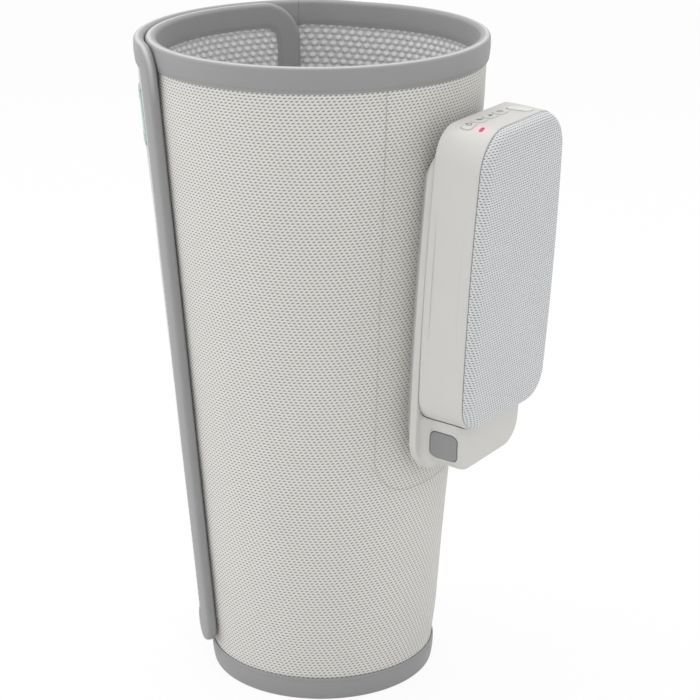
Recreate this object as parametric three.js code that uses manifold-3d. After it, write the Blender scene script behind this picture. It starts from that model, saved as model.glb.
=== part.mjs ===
// A compression massager for the calf: an open cone of padded cloth that stands on its narrow end, closed
// by an overlapping flap, with a moulded dock on the cloth and a pump unit that slides down into the dock.
// Millimetres, +Z up, the pump unit faces -Y. The origin lies on the floor under the middle of the plan.
import * as THREE from "three";
import { mergeVertices } from "three/addons/utils/BufferGeometryUtils.js";
import Module from "manifold-3d";

const wasm = await Module();
wasm.setup();

// The cone of the wrap, measured at the outside of its cloth.
const wrapHeight = 320;
const topRadius = 80;
const bottomRadius = 54.4;
// The layers of the wall, from the outside in, with the gap between neighbours.
const clothThickness = 0.7;
const bladderThickness = 1.2;
const liningThickness = 0.8;
const layerGap = 0.25;
const seatGap = 0.3;
// Turns of the spiral, as shares of a full turn: the inner end, the ramp outwards and the flap.
const innerEndShare = 1 / 9;
const wallStepShare = 0.02;
const rampShare = 0.066;
const rampEndShare = 0.008;
const flapTurnShare = 0.3;
const fullTurn = 360;
// The tape that binds every edge of the wrap.
const bindingThickness = 0.6;
const bindingLeg = 12;
const bindingRoof = 1.4;
const bindingShoulder = 1.7;
const bindingPuff = 0.35;
const innerCornerRadius = 16;
const flapCornerRadius = 12;
const flapRise = 14;
const cornerSteps = 4;
// Hook and loop strips under the flap, and the tab sewn on its outside.
const stripThickness = 0.6;
const loopWidth = 64;
const loopInset = 2;
const hookWidth = 26;
const stripMargin = 26;
const tabWidth = 31;
const tabHeight = 31;
const tabThickness = 0.9;
const tabInset = 20;
const tabDrop = 17;
// Air bladders: three, one above the other, with welded borders between them.
const bladderMargin = 14;
const bladderBorder = 4;
const bladderCorner = 9;
const bladderEndMargin = 18;
// The pump unit, in its own frame: X across, Y from its front seam towards the wrap, Z up along its length.
const unitLeanShare = 0.0021914472;
const unitStandoff = 33.101;
const unitDrop = 99.7;
const unitHalfWidth = 38.6;
const unitHalfLength = 72;
const sideBow = 1.5;
const topCorner = 20;
const bottomCorner = 16;
const housingDepth = 24;
const housingWall = 2.2;
const housingRim = 0.8;
const backFillet = 3.6;
const rimChamfer = 0.5;
// The cloth-covered front of the unit.
const frontInset = 0.6;
const frontLip = 0.5;
const frontEdgeWidth = 5;
const frontEdgeDepth = 4.5;
const frontCrown = 0.8;
const frontClothThickness = 0.8;
const framePlug = 4;
const frameWeb = 2;
// Buttons, light and charging port on top of the unit.
const buttonWidth = 7.8;
const buttonDepth = 5.8;
const buttonPitch = 9.4;
const buttonCorner = 2.4;
const buttonProud = 0.5;
const buttonSkirt = 1.2;
const buttonGap = 0.35;
const buttonTravel = 0.6;
const buttonBackMargin = 9.3;
const firstButtonSide = 24.2;
const lightLength = 3.4;
const lightWidth = 1.3;
const lightBack = 7.7;
const lightSide = 24.9;
const lightProud = 0.1;
const portSide = 14.6;
const portBackMargin = 13.8;
const portLength = 12.6;
const portWidth = 5.6;
const portCoverProud = 0.5;
const portCoverThickness = 1.2;
const socketLength = 9;
const socketWidth = 3.2;
const socketDepth = 7;
const socketShell = 0.4;
const tongueThickness = 0.7;
// The dock: a tray behind the unit, a foot below it and a back that follows the cone.
const dockInset = 0.9;
const dockTopDrop = 17;
const footHeight = 23.5;
const dockTopCorner = 15;
const dockBottomCorner = 19;
const trayThickness = 2.8;
const trayEdge = 0.9;
const dockWall = 2.4;
const dockTaperDepth = 24;
const dockTaperInset = 20;
const footPlate = 2.2;
const footLip = 6;
const footFront = 4.5;
const footFillet = 3;
const footInset = 7.6;
const footCorner = 13;
const unitGap = 0.4;
const railWidth = 22;
const railHeight = 1.7;
const railUndercut = 1.6;
const railTopDrop = 17;
const railFootGap = 8;
// Release buttons in the sides of the foot, their latch arms and springs.
const releaseDepth = 14;
const releaseHeight = 13.4;
const releaseCorner = 3;
const releaseBack = 13;
const releaseBelow = 10;
const releaseProud = 0.4;
const releaseCap = 4.6;
const releaseTravel = 2.5;
const releaseStem = 4.4;
const releaseStemBelow = 2.3;
const latchSide = 23;
const latchThickness = 1.6;
const latchWidth = 6;
const latchRise = 21.8;
const latchNose = 0.9;
const latchNoseHeight = 2;
const springRadius = 2.7;
const springWire = 0.45;
const springTurns = 4;
const springLength = 7.6;
const springSteps = 7;
const springSides = 4;
const pocketWall = 1.6;
// Screws that hold the dock to the straps inside the wall, and the straps.
const strapHeight = 14;
const strapWidth = 62;
const strapSpacing = 36;
const upperStrapRise = 41.7;
const lowerStrapDrop = 42.3;
const screwShank = 1.2;
const screwHead = 2.6;
const screwHeadThickness = 0.5;
const screwLength = 7;
const screwGap = 0.3;
const bossWall = 2;
// Air ports through the cloth, hoses, and the nozzles between dock and unit.
const airBore = 1.2;
const airStem = 2.4;
const airFlange = 5;
const airFlangeThickness = 1;
const airStemLength = 4.4;
const lowerPortRise = 11.7;
const middlePortDrop = 15.3;
const upperPortRise = 26.7;
const lowerPortMargin = 6;
const upperPortMargin = 11;
const nippleRadius = 1.5;
const nippleLength = 7;
const nozzlePitch = 9;
const nozzleRadius = 1.8;
const nozzleRise = 4.6;
const nozzleBackMargin = 10.5;
const nozzleBaseThickness = 4;
const nozzleBaseMargin = 4;
const nozzleBore = 1;
const sealWire = 0.55;
const hoseRadius = 1.7;
const hoseClimb = 9;
const hoseStep = 12;
// Inside the unit.
const boardThickness = 1.6;
const boardInset = 3;
const boardFootMargin = 14;
const buttonBoardDrop = 9.6;
const buttonBoardEnd = 27.5;
const batteryWidth = 32;
const batteryEndMargin = 20;
const batteryFrontGap = 3.35;
const batterySide = 11;
const batteryPostGap = 8;
const batteryCorner = 3;
const pumpSide = 21.5;
const pumpRadius = 4.8;
const motorLength = 24;
const pumpHeadSize = 11.4;
const pumpHeadLength = 11;
const motorTop = 33;
const cradleWall = 1.5;
const cradleLength = 6;
const valveSize = 8;
const valveLength = 11;
const valvePitch = 11;
const valveSide = 22;
const valveDrop = 19;
const manifoldHeight = 9;
const manifoldBackGap = 0.45;
const manifoldWidth = 42;
const manifoldSide = 7;
const stubWall = 1.2;
const postRadius = 3;
const postSide = 25.5;
const postInset = 20;
const switchSize = 4.4;
const switchHeight = 2;
const plungerRadius = 1.2;
const overrun = 40;
const weldGap = 0.0001;

const cloth = { color: 0xcfcdc8, roughness: 0.95, metalness: 0 };
const mesh = { color: 0xa9a9a7, roughness: 0.95, metalness: 0 };
const tape = { color: 0x8e8e8d, roughness: 0.85, metalness: 0 };
const film = { color: 0x4b5258, roughness: 0.4, metalness: 0 };
const shell = { color: 0xcac9c6, roughness: 0.5, metalness: 0 };
const weave = { color: 0xc6cacd, roughness: 0.9, metalness: 0 };
const grip = { color: 0x888988, roughness: 0.6, metalness: 0 };
const mint = { color: 0x9fc9c0, roughness: 0.9, metalness: 0 };
const steel = { color: 0xb4b6b8, roughness: 0.35, metalness: 1 };
const rubber = { color: 0x3a3b3d, roughness: 0.8, metalness: 0 };
const board = { color: 0x22603f, roughness: 0.6, metalness: 0 };
const redLight = { color: 0xb0405a, roughness: 0.3, metalness: 0 };

const coneAngle = Math.atan((topRadius - bottomRadius) / wrapHeight);
const unitHeight = wrapHeight - unitDrop;
const buttonBack = housingDepth - buttonBackMargin;
const portBack = housingDepth - portBackMargin;
const nozzleBack = housingDepth - nozzleBackMargin;
const lowerPortDrop = unitHalfLength - lowerPortRise;
const batteryLength = unitHalfLength - batteryEndMargin;
const dockHalfWidth = unitHalfWidth - dockInset;
const footHalfWidth = unitHalfWidth - footInset;
const dockTop = unitHalfLength - dockTopDrop;
const dockBottom = unitHalfLength + footHeight;
const footTop = unitHalfLength - footLip;
const railTop = dockTop - railTopDrop;
const railBottom = footTop - railFootGap;
const releaseDrop = unitHalfLength + releaseBelow;
const releaseStemDrop = releaseDrop + releaseStemBelow;
const boardBottom = unitHalfLength - boardFootMargin;
const postHeight = unitHalfLength - postInset;
const part = new THREE.Group();
const wrap = new THREE.Group();
const unit = new THREE.Group();
unit.position.set(0, -coneRadius(unitHeight) - unitStandoff, unitHeight);
unit.rotation.x = coneAngle - unitLeanShare * fullTurn * THREE.MathUtils.DEG2RAD;
part.add(wrap, unit);

function addPiece(group, name, geometry, look) {
  const shape = geometry.index ? geometry.toNonIndexed() : geometry;
  shape.computeVertexNormals();
  const piece = new THREE.Mesh(shape, new THREE.MeshStandardMaterial(look));
  piece.name = name;
  group.add(piece);
}

// A closed body from its points and triangles, turned to face out.
function closedBody(points, triangles) {
  let sixVolumes = 0;
  for (const [a, b, c] of triangles) {
    sixVolumes += points[a].dot(new THREE.Vector3().crossVectors(points[b], points[c]));
  }
  const order = sixVolumes < 0 ? triangles.map(([a, b, c]) => [a, c, b]) : triangles;
  const geometry = new THREE.BufferGeometry().setFromPoints(points);
  geometry.setIndex(order.flat());
  return geometry;
}

// A body through a row of rings with equal counts. The sections are the end rings laid flat, for the caps.
function loft(rings, firstSection, lastSection = firstSection) {
  const count = rings[0].length;
  const triangles = [];
  for (let ring = 0; ring + 1 < rings.length; ring++) {
    for (let side = 0; side < count; side++) {
      const a = ring * count + side;
      const b = ring * count + ((side + 1) % count);
      triangles.push([a, b, a + count], [b, b + count, a + count]);
    }
  }
  const last = (rings.length - 1) * count;
  const facing = THREE.ShapeUtils.isClockWise(firstSection) ? -1 : 1;
  for (const [a, b, c] of THREE.ShapeUtils.triangulateShape(firstSection, [])) {
    triangles.push(facing > 0 ? [c, b, a] : [a, b, c]);
  }
  for (const [a, b, c] of THREE.ShapeUtils.triangulateShape(lastSection, [])) {
    triangles.push(facing > 0 ? [last + a, last + b, last + c] : [last + c, last + b, last + a]);
  }
  return closedBody(rings.flat(), triangles);
}

function solid(geometry) {
  const bare = geometry.clone();
  bare.deleteAttribute("normal");
  bare.deleteAttribute("uv");
  const merged = mergeVertices(bare, weldGap);
  const vertProperties = new Float32Array(merged.attributes.position.array);
  const triVerts = new Uint32Array(merged.index.array);
  return new wasm.Manifold(new wasm.Mesh({ numProp: 3, vertProperties, triVerts }));
}

function geometryOf(body) {
  const made = body.getMesh();
  const geometry = new THREE.BufferGeometry();
  geometry.setAttribute("position", new THREE.BufferAttribute(made.vertProperties, 3));
  geometry.setIndex(new THREE.BufferAttribute(made.triVerts, 1));
  return geometry;
}

const joined = (...bodies) => bodies.reduce((all, body) => all.add(body));
const cutFrom = (body, ...tools) => tools.reduce((rest, tool) => rest.subtract(tool), body);

// Simple bodies, placed by their centre.
function box(size, centre) {
  return solid(new THREE.BoxGeometry(...size).translate(...centre));
}

function roundedBar(width, height, length, radius) {
  const shape = new THREE.Shape();
  const x = width / 2;
  const y = height / 2;
  const r = Math.min(radius, x, y);
  shape.moveTo(x, y - r).absarc(x - r, y - r, r, 0, Math.PI / 2);
  shape.absarc(r - x, y - r, r, Math.PI / 2, Math.PI);
  shape.absarc(r - x, r - y, r, Math.PI, Math.PI * 1.5);
  shape.absarc(x - r, r - y, r, Math.PI * 1.5, Math.PI * 2);
  return new THREE.ExtrudeGeometry(shape, { depth: length, bevelEnabled: false, curveSegments: 4 });
}

// A turned body about Z from radius and height pairs, closed on the axis or on itself.
function turned(pairs, sides = 16) {
  const profile = pairs.map(([radius, height]) => new THREE.Vector2(radius, height));
  return new THREE.LatheGeometry(profile, sides).rotateX(Math.PI / 2);
}

function rod(radius, bottom, top, sides = 16) {
  return turned([[0, bottom], [radius, bottom], [radius, top], [0, top]], sides);
}

function pipe(outer, inner, bottom, top, sides = 16) {
  return turned([[inner, bottom], [outer, bottom], [outer, top], [inner, top], [inner, bottom]], sides);
}

// The skin of the wrap: a point at a turn in degrees, a height and a depth below the outer cloth.
const flapTurn = flapTurnShare * fullTurn;
const innerEndTurn = innerEndShare * fullTurn;
const wallStepTurn = wallStepShare * fullTurn;
const rootTurn = innerEndTurn + fullTurn;
const freeEndTurn = rootTurn + flapTurn;
const wallThickness = clothThickness + bladderThickness + liningThickness + 2 * layerGap;
const bindingProud = bindingThickness + layerGap;
const flapLift = wallThickness + 2 * bindingProud + bindingPuff + seatGap;
const bladderDepth = clothThickness + layerGap;
const liningDepth = bladderDepth + bladderThickness + layerGap;

function coneRadius(height) {
  return bottomRadius + ((topRadius - bottomRadius) * height) / wrapHeight;
}

function skinPoint(turn, height, depth) {
  const rampEnd = rootTurn - rampEndShare * fullTurn;
  const lift = flapLift * THREE.MathUtils.smoothstep(turn, rampEnd - rampShare * fullTurn, rampEnd);
  const radius = coneRadius(height) + lift - depth;
  const angle = turn * THREE.MathUtils.DEG2RAD;
  return new THREE.Vector3(radius * Math.cos(angle), radius * Math.sin(angle), height);
}

// Degrees of turn that an arc length takes at a height.
const turnOf = (length, height) => (length / coneRadius(height)) * THREE.MathUtils.RAD2DEG;

// Places a body built along +Z on the skin, with +Z pointing straight out of the cloth.
function skinFrame(turn, height) {
  const angle = turn * THREE.MathUtils.DEG2RAD;
  const out = new THREE.Vector3(Math.cos(angle), Math.sin(angle), -Math.tan(coneAngle)).normalize();
  const across = new THREE.Vector3(-Math.sin(angle), Math.cos(angle), 0);
  const up = new THREE.Vector3().crossVectors(out, across);
  const place = new THREE.Matrix4().makeBasis(across, up, out);
  return place.setPosition(skinPoint(turn, height, 0));
}

// How far a rounded corner draws an edge in, at a distance from the end.
function cornerPull(radius, distance) {
  const left = Math.max(radius - distance, 0);
  return radius - Math.sqrt(radius * radius - left * left);
}

// A layer of the wall between two turns and two heights, with rounded corners where a radius is given.
function layer({ from, to, low, high, depth, thickness, startCorner = 0, endCorner = 0, rise = () => 0 }) {
  const cornerTurns = (radius, sense, end) => {
    const turns = [];
    for (let step = 0; step <= (radius ? cornerSteps : 0); step++) {
      const sweep = (step / cornerSteps) * (Math.PI / 2);
      turns.push(end + sense * turnOf(radius * (1 - Math.cos(sweep)), low + rise(end)));
    }
    return turns;
  };
  const start = cornerTurns(startCorner, 1, from);
  const tail = cornerTurns(endCorner, -1, to).reverse();
  const between = [];
  for (let turn = innerEndTurn; turn < tail[0] - wallStepTurn / 4; turn += wallStepTurn) {
    if (turn > start.at(-1) + wallStepTurn / 4) between.push(turn);
  }
  const pullAt = (turn, height) => {
    const perDegree = coneRadius(height) * THREE.MathUtils.DEG2RAD;
    const startPull = cornerPull(startCorner, (turn - from) * perDegree);
    return startPull + cornerPull(endCorner, (to - turn) * perDegree);
  };
  const rings = [...start, ...between, ...tail].map((turn) => {
    const foot = low + rise(turn);
    const lower = foot + pullAt(turn, foot);
    const upper = high - pullAt(turn, high);
    return [
      skinPoint(turn, lower, depth),
      skinPoint(turn, upper, depth),
      skinPoint(turn, upper, depth + thickness),
      skinPoint(turn, lower, depth + thickness),
    ];
  });
  const section = [[0, 0], [0, 1], [1, 1], [1, 0]].map(([x, y]) => new THREE.Vector2(x, y));
  return loft(rings, section);
}

// The tape's section: how far in from the edge, and how deep below the outer cloth.
function bindingSection() {
  const outside = -bindingProud;
  const inside = wallThickness + bindingProud;
  const near = wallThickness + layerGap;
  const half = bindingLeg / 2;
  const round = bindingShoulder * (1 - Math.SQRT1_2);
  const points = [
    [bindingLeg, outside],
    [half, outside - bindingPuff],
    [bindingShoulder, outside],
    [round, outside + round],
    [0, outside + bindingShoulder],
    [0, inside - bindingShoulder],
    [round, inside - round],
    [bindingShoulder, inside],
    [bindingLeg, inside],
    [bindingLeg, near],
    [bindingRoof, near],
    [bindingRoof, -layerGap],
    [half, -layerGap],
    [bindingLeg, -layerGap],
  ];
  return points;
}

// Sweeps the tape along an edge: each station has a turn, a height and the direction in from the edge.
function bindingAlong(stations) {
  const section = bindingSection();
  const rings = stations.map(({ turn, height, across, up }) =>
    section.map(([inward, depth]) => {
      const level = height + inward * up;
      return skinPoint(turn + turnOf(inward * across, level), level, depth);
    }),
  );
  return loft(rings, section.map(([x, y]) => new THREE.Vector2(x, y)));
}

// Stations round one end of the wrap, from its top edge over the corner, down and along its foot.
function edgeStations({ end, sense, root, radius, rise = () => 0 }) {
  const between = (height) => {
    const first = end + sense * turnOf(radius, height);
    const turns = [];
    for (let turn = innerEndTurn; turn <= freeEndTurn; turn += wallStepTurn) {
      const near = Math.min(sense * (turn - first), sense * (root - turn));
      if (near > wallStepTurn / 6) turns.push(turn);
    }
    return [root, ...(sense > 0 ? turns.reverse() : turns)];
  };
  const stations = between(wrapHeight).map((turn) => ({ turn, height: wrapHeight, across: 0, up: -1 }));
  for (let step = 0; step <= cornerSteps; step++) {
    const sweep = (step / cornerSteps) * (Math.PI / 2);
    const height = wrapHeight - radius * (1 - Math.cos(sweep));
    const back = sense * turnOf(radius * (1 - Math.sin(sweep)), height);
    stations.push({ turn: end + back, height, across: sense * Math.sin(sweep), up: -Math.cos(sweep) });
  }
  const foot = rise(end);
  for (let step = cornerSteps; step >= 0; step--) {
    const sweep = (step / cornerSteps) * (Math.PI / 2);
    const height = foot + radius * (1 - Math.cos(sweep));
    const back = sense * turnOf(radius * (1 - Math.sin(sweep)), height);
    stations.push({ turn: end + back, height, across: sense * Math.sin(sweep), up: Math.cos(sweep) });
  }
  for (const turn of between(foot).reverse()) {
    stations.push({ turn, height: rise(turn), across: 0, up: 1 });
  }
  return stations;
}

const sheetInset = bindingRoof + layerGap;
const rootGapTurn = turnOf(seatGap, 0) / 2;
const wallRoot = rootTurn - rootGapTurn;
const flapRoot = rootTurn + rootGapTurn;
const wallStart = innerEndTurn + turnOf(sheetInset, 0);
const flapEnd = freeEndTurn - turnOf(sheetInset, 0);

// The free edge of the flap rises towards its end, from nothing at the root.
function flapFoot(turn) {
  return flapRise * THREE.MathUtils.smoothstep(turn, rootTurn, freeEndTurn - turnOf(flapCornerRadius, 0));
}

// Straps inside the wall take the dock's screws. Each is a stiff plate in the bladders' layer.
const unitTurn = 270;
function strapLayer(height, grow) {
  const halfTurn = turnOf(strapWidth / 2 + grow, height);
  return layer({
    from: unitTurn - halfTurn,
    to: unitTurn + halfTurn,
    low: height - strapHeight / 2 - grow,
    high: height + strapHeight / 2 + grow,
    depth: grow > 0 ? bladderDepth - layerGap : bladderDepth,
    thickness: grow > 0 ? bladderThickness + 2 * layerGap : bladderThickness,
  });
}

const strapHeights = { upper: unitHeight + upperStrapRise, lower: unitHeight - lowerStrapDrop };
const screwPlaces = [];
for (const [level, height] of Object.entries(strapHeights)) {
  for (const [hand, sense] of [["left", -1], ["right", 1]]) {
    const turn = unitTurn + sense * turnOf(strapSpacing / 2, height);
    screwPlaces.push({ name: `${level}_${hand}`, level, frame: skinFrame(turn, height) });
  }
}
const airPorts = {
  lower: unitHeight - lowerPortDrop,
  middle: unitHeight - middlePortDrop,
  upper: unitHeight + upperPortRise,
};
const portFrames = Object.entries(airPorts).map(([level, height], index) => ({
  level,
  frame: skinFrame(unitTurn + turnOf((1 - index) * nozzlePitch, height), height),
}));
const onSkin = (geometry, frame) => solid(geometry.clone().applyMatrix4(frame));

// Wall of the wrap: outer cloth with its holes for the dock, bladders, straps and lining.
const sheet = { from: wallStart, to: wallRoot, low: sheetInset, high: wrapHeight - sheetInset };
const holeDepth = bladderDepth + bladderThickness;
const clothHoles = [
  ...screwPlaces.map(({ frame }) => onSkin(rod(screwShank + screwGap, -holeDepth, holeDepth, 8), frame)),
  ...portFrames.map(({ frame }) => onSkin(rod(airStem + seatGap, -holeDepth, holeDepth, 8), frame)),
];
const sheetCorner = innerCornerRadius - sheetInset;
const outerCloth = layer({ ...sheet, depth: 0, thickness: clothThickness, startCorner: sheetCorner });
addPiece(wrap, "outer_cloth", geometryOf(cutFrom(solid(outerCloth), ...clothHoles)), cloth);
const lining = { ...sheet, depth: liningDepth, thickness: liningThickness, startCorner: sheetCorner };
addPiece(wrap, "lining", layer(lining), mesh);

const lowerBladderTop = airPorts.lower + lowerPortMargin;
const upperBladderFoot = airPorts.upper - upperPortMargin;
const bladderLevels = {
  lower: [bladderMargin, lowerBladderTop],
  middle: [lowerBladderTop + bladderBorder, upperBladderFoot - bladderBorder],
  upper: [upperBladderFoot, wrapHeight - bladderMargin],
};
const strapSpaces = Object.values(strapHeights).map((height) => solid(strapLayer(height, seatGap)));
for (const [level, [low, high]] of Object.entries(bladderLevels)) {
  const chamber = layer({
    from: innerEndTurn + turnOf(bladderEndMargin, low),
    to: rootTurn - rampShare * fullTurn - turnOf(bladderEndMargin, low),
    low,
    high,
    depth: bladderDepth,
    thickness: bladderThickness,
    startCorner: bladderCorner,
    endCorner: bladderCorner,
  });
  addPiece(wrap, `bladder_${level}`, geometryOf(cutFrom(solid(chamber), ...strapSpaces)), film);
}
const headSeat = bladderDepth + bladderThickness - screwHeadThickness;
for (const [level, height] of Object.entries(strapHeights)) {
  const holes = screwPlaces.filter((place) => place.level === level).flatMap(({ frame }) => [
    onSkin(rod(screwShank + screwGap, -holeDepth - overrun, 0, 8), frame),
    onSkin(rod(screwHead + screwGap, -holeDepth - overrun, -headSeat + screwGap, 8), frame),
  ]);
  addPiece(wrap, `strap_${level}`, geometryOf(cutFrom(solid(strapLayer(height, 0)), ...holes)), shell);
}
const wallBinding = { end: innerEndTurn, sense: 1, root: wallRoot, radius: innerCornerRadius };
addPiece(wrap, "wall_binding", bindingAlong(edgeStations(wallBinding)), tape);

const loopEnd = freeEndTurn - fullTurn - turnOf(loopInset, 0);
const loopStrip = layer({
  from: loopEnd - turnOf(loopWidth, 0),
  to: loopEnd,
  low: stripMargin,
  high: wrapHeight - stripMargin,
  depth: -stripThickness - layerGap,
  thickness: stripThickness,
});
addPiece(wrap, "loop_strip", loopStrip, mesh);

// The flap: the end of the sheet that laps over the wall from behind, with its own layers and binding.
const flapCorner = flapCornerRadius - sheetInset;
const flapSheet = { ...sheet, from: flapRoot, to: flapEnd, rise: flapFoot };
const flapLayers = {
  flap_cloth: [0, clothThickness, cloth, flapSheet],
  flap_padding: [bladderDepth, bladderThickness, rubber, flapSheet],
  flap_lining: [liningDepth, liningThickness, mesh, flapSheet],
};
for (const [name, [depth, thickness, look, sizes]] of Object.entries(flapLayers)) {
  addPiece(wrap, name, layer({ ...sizes, depth, thickness, endCorner: flapCorner }), look);
}
const flapBinding = { end: freeEndTurn, sense: -1, root: flapRoot, radius: flapCornerRadius, rise: flapFoot };
addPiece(wrap, "flap_binding", bindingAlong(edgeStations(flapBinding)), tape);
const hookEnd = freeEndTurn - turnOf(bindingLeg + seatGap, 0);
const hookStrip = layer({
  from: hookEnd - turnOf(hookWidth, 0),
  to: hookEnd,
  low: stripMargin,
  high: wrapHeight - stripMargin,
  depth: wallThickness + layerGap,
  thickness: stripThickness,
});
addPiece(wrap, "hook_strip", hookStrip, rubber);
const tabHigh = wrapHeight - tabDrop;
const tabTo = freeEndTurn - turnOf(tabInset, tabHigh);
const pullTab = layer({
  from: tabTo - turnOf(tabWidth, tabHigh),
  to: tabTo,
  low: tabHigh - tabHeight,
  high: tabHigh,
  depth: -layerGap - tabThickness,
  thickness: tabThickness,
});
addPiece(wrap, "pull_tab", pullTab, mint);

// Outlines of the unit and the dock in X and Z: flat ends, rounded corners and slightly bowed sides.
const unitOutline = {
  halfWidth: unitHalfWidth,
  top: unitHalfLength,
  bottom: unitHalfLength,
  topCorner,
  bottomCorner,
};
const dockOutline = {
  halfWidth: dockHalfWidth,
  top: dockTop,
  bottom: dockBottom,
  topCorner: dockTopCorner,
  bottomCorner: dockBottomCorner,
};
const footOutline = {
  halfWidth: footHalfWidth,
  top: dockTop,
  bottom: dockBottom,
  topCorner: dockTopCorner,
  bottomCorner: footCorner,
};

function outlinePoints(outline, inset) {
  const halfWidth = outline.halfWidth - inset;
  const top = outline.top - inset;
  const bottom = outline.bottom - inset;
  const least = rimChamfer;
  const above = Math.max(outline.topCorner - inset, least);
  const below = Math.max(outline.bottomCorner - inset, least);
  const end = halfWidth - sideBow;
  const points = [];
  const arc = (x, z, radius, start) => {
    for (let step = 0; step <= cornerSteps; step++) {
      const angle = start + (step / cornerSteps) * (Math.PI / 2);
      points.push(new THREE.Vector2(x + radius * Math.cos(angle), z + radius * Math.sin(angle)));
    }
  };
  const sideShares = [0.25, 0.5, 0.75];
  const side = (sense, from, to) => {
    for (const share of sideShares) {
      const bow = 4 * share * (1 - share) * sideBow;
      points.push(new THREE.Vector2(sense * (end + bow), from + share * (to - from)));
    }
  };
  arc(end - above, top - above, above, 0);
  arc(above - end, top - above, above, Math.PI / 2);
  side(-1, top - above, below - bottom);
  arc(below - end, below - bottom, below, Math.PI);
  arc(end - below, below - bottom, below, Math.PI * 1.5);
  side(1, below - bottom, top - above);
  return points;
}

// The facets of the unit's top corners lie inside their arcs by this much at most.
const cornerSag = topCorner * (1 - Math.cos(Math.PI / (4 * cornerSteps)));

// The height of the unit's top, or of a level below it, at a distance from the middle, round the corners too.
function outlineTop(x, inset = 0) {
  const flat = unitHalfWidth - sideBow - topCorner;
  const beyond = Math.max(Math.abs(x) - flat, 0);
  return unitHalfLength - topCorner + Math.sqrt((topCorner - inset) ** 2 - beyond ** 2);
}

// A body through outlines at given insets and depths.
function outlineLoft(outline, levels) {
  const flat = levels.map(([inset]) => outlinePoints(outline, inset));
  const rings = flat.map((points, level) => points.map((p) => new THREE.Vector3(p.x, levels[level][1], p.y)));
  return loft(rings, flat[0], flat.at(-1));
}

function filletLevels(inset, depth, radius, steps = 3) {
  const levels = [];
  for (let step = 0; step <= steps; step++) {
    const sweep = (step / steps) * (Math.PI / 2);
    levels.push([inset + radius * (1 - Math.cos(sweep)), depth - radius * (1 - Math.sin(sweep))]);
  }
  return levels;
}

// The outside of the unit's housing, grown by a margin. The tool for caps and clearances too.
function unitEnvelope(grow, front = housingRim) {
  const levels = [
    [rimChamfer - grow, front],
    [-grow, front + rimChamfer],
    ...filletLevels(-grow, housingDepth + grow, backFillet + grow),
  ];
  return solid(outlineLoft(unitOutline, levels));
}

// A prism through the top wall, used for a button, the light or the charging port.
function topPrism(width, depth, corner, side, back) {
  const bar = roundedBar(width, depth, overrun, corner);
  return solid(bar.translate(side, back, unitHalfLength - overrun / 2));
}

const buttonNames = ["power_button", "mode_button", "level_button", "time_button"];
const buttonSides = buttonNames.map((name, index) => index * buttonPitch - firstButtonSide);

// Housing: a tray open to the front, with a dovetail groove down its back and screw posts' seats.
const innerEdge = housingWall + seatGap;
const housingLevels = [
  ...filletLevels(housingWall, housingDepth - housingWall, backFillet - housingWall).reverse(),
  [housingWall, housingRim],
  [rimChamfer, housingRim],
  [0, housingRim + rimChamfer],
  ...filletLevels(0, housingDepth, backFillet),
];

function dovetail(grow, bottom, top) {
  const height = railHeight + grow;
  const base = railWidth / 2 + grow - railUndercut;
  const tip = railWidth / 2 + grow;
  const shape = new THREE.Shape();
  shape.moveTo(-base, 0).lineTo(base, 0).lineTo(tip, -height).lineTo(-tip, -height).closePath();
  const bar = new THREE.ExtrudeGeometry(shape, { depth: top - bottom, bevelEnabled: false });
  return solid(bar.translate(0, 0, bottom));
}

const railBase = housingDepth + unitGap;
const grooveDepth = railHeight + unitGap;
const groove = dovetail(unitGap, -unitHalfLength - overrun, railTop + unitGap);
const grooveCut = groove.translate([0, railBase, 0]);
const blockFoot = housingWall / 2 - unitHalfLength;
const blockBack = housingDepth - housingWall + layerGap;
const grooveBlock = box(
  [railWidth + 2 * housingWall, grooveDepth, railTop + housingWall - blockFoot],
  [0, blockBack - grooveDepth / 2, (railTop + blockFoot) / 2],
);
const postPlaces = [];
for (const [level, rise] of [["upper", 1], ["lower", -1]]) {
  for (const [hand, sense] of [["left", -1], ["right", 1]]) {
    postPlaces.push({ name: `${level}_${hand}`, x: sense * postSide, z: rise * postHeight });
  }
}
const alongY = (geometry) => geometry.rotateX(-Math.PI / 2);
const backRecess = housingDepth - screwHeadThickness - 2 * screwGap;
const postHoles = postPlaces.flatMap(({ x, z }) => [
  solid(alongY(rod(screwShank + screwGap, 0, overrun, 10)).translate(x, framePlug, z)),
  solid(alongY(rod(screwHead + screwGap, 0, overrun, 12)).translate(x, backRecess, z)),
]);
const nozzleSides = [-nozzlePitch, 0, nozzlePitch];
const nozzleHole = nozzleRadius + 2 * sealWire + 2 * seatGap;
const nozzleHoles = nozzleSides.map((side) =>
  solid(rod(nozzleHole, 0, overrun, 12).translate(side, nozzleBack, -unitHalfLength - overrun / 2)),
);
const latchSpace = latchThickness + latchNose + releaseTravel + 2 * seatGap;
const latchMiddle = latchSide + (latchNose + latchThickness - releaseTravel) / 2;
const latchSlot = (sense, height, level) =>
  box([latchSpace, latchWidth + 2 * seatGap, height], [sense * latchMiddle, releaseBack, level]);
const latchSlots = [-1, 1].map((sense) => latchSlot(sense, overrun, -unitHalfLength));
const buttonHoles = buttonSides.map((side) =>
  topPrism(buttonWidth + 2 * buttonGap, buttonDepth + 2 * buttonGap, buttonCorner, side, buttonBack),
);
const lightPrism = (grow) =>
  topPrism(lightLength + 2 * grow, lightWidth + 2 * grow, lightWidth / 2 + grow, -lightSide, lightBack);
const portPrism = (grow) =>
  topPrism(portWidth + 2 * grow, portLength + 2 * grow, portWidth, portSide, portBack);
const topOnly = box([2 * overrun, overrun, overrun], [0, overrun / 2, unitHalfLength]);
const coverFloor = unitEnvelope(-portCoverThickness - seatGap, -overrun);
const coverSeat = cutFrom(portPrism(seatGap), coverFloor).intersect(topOnly);
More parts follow.
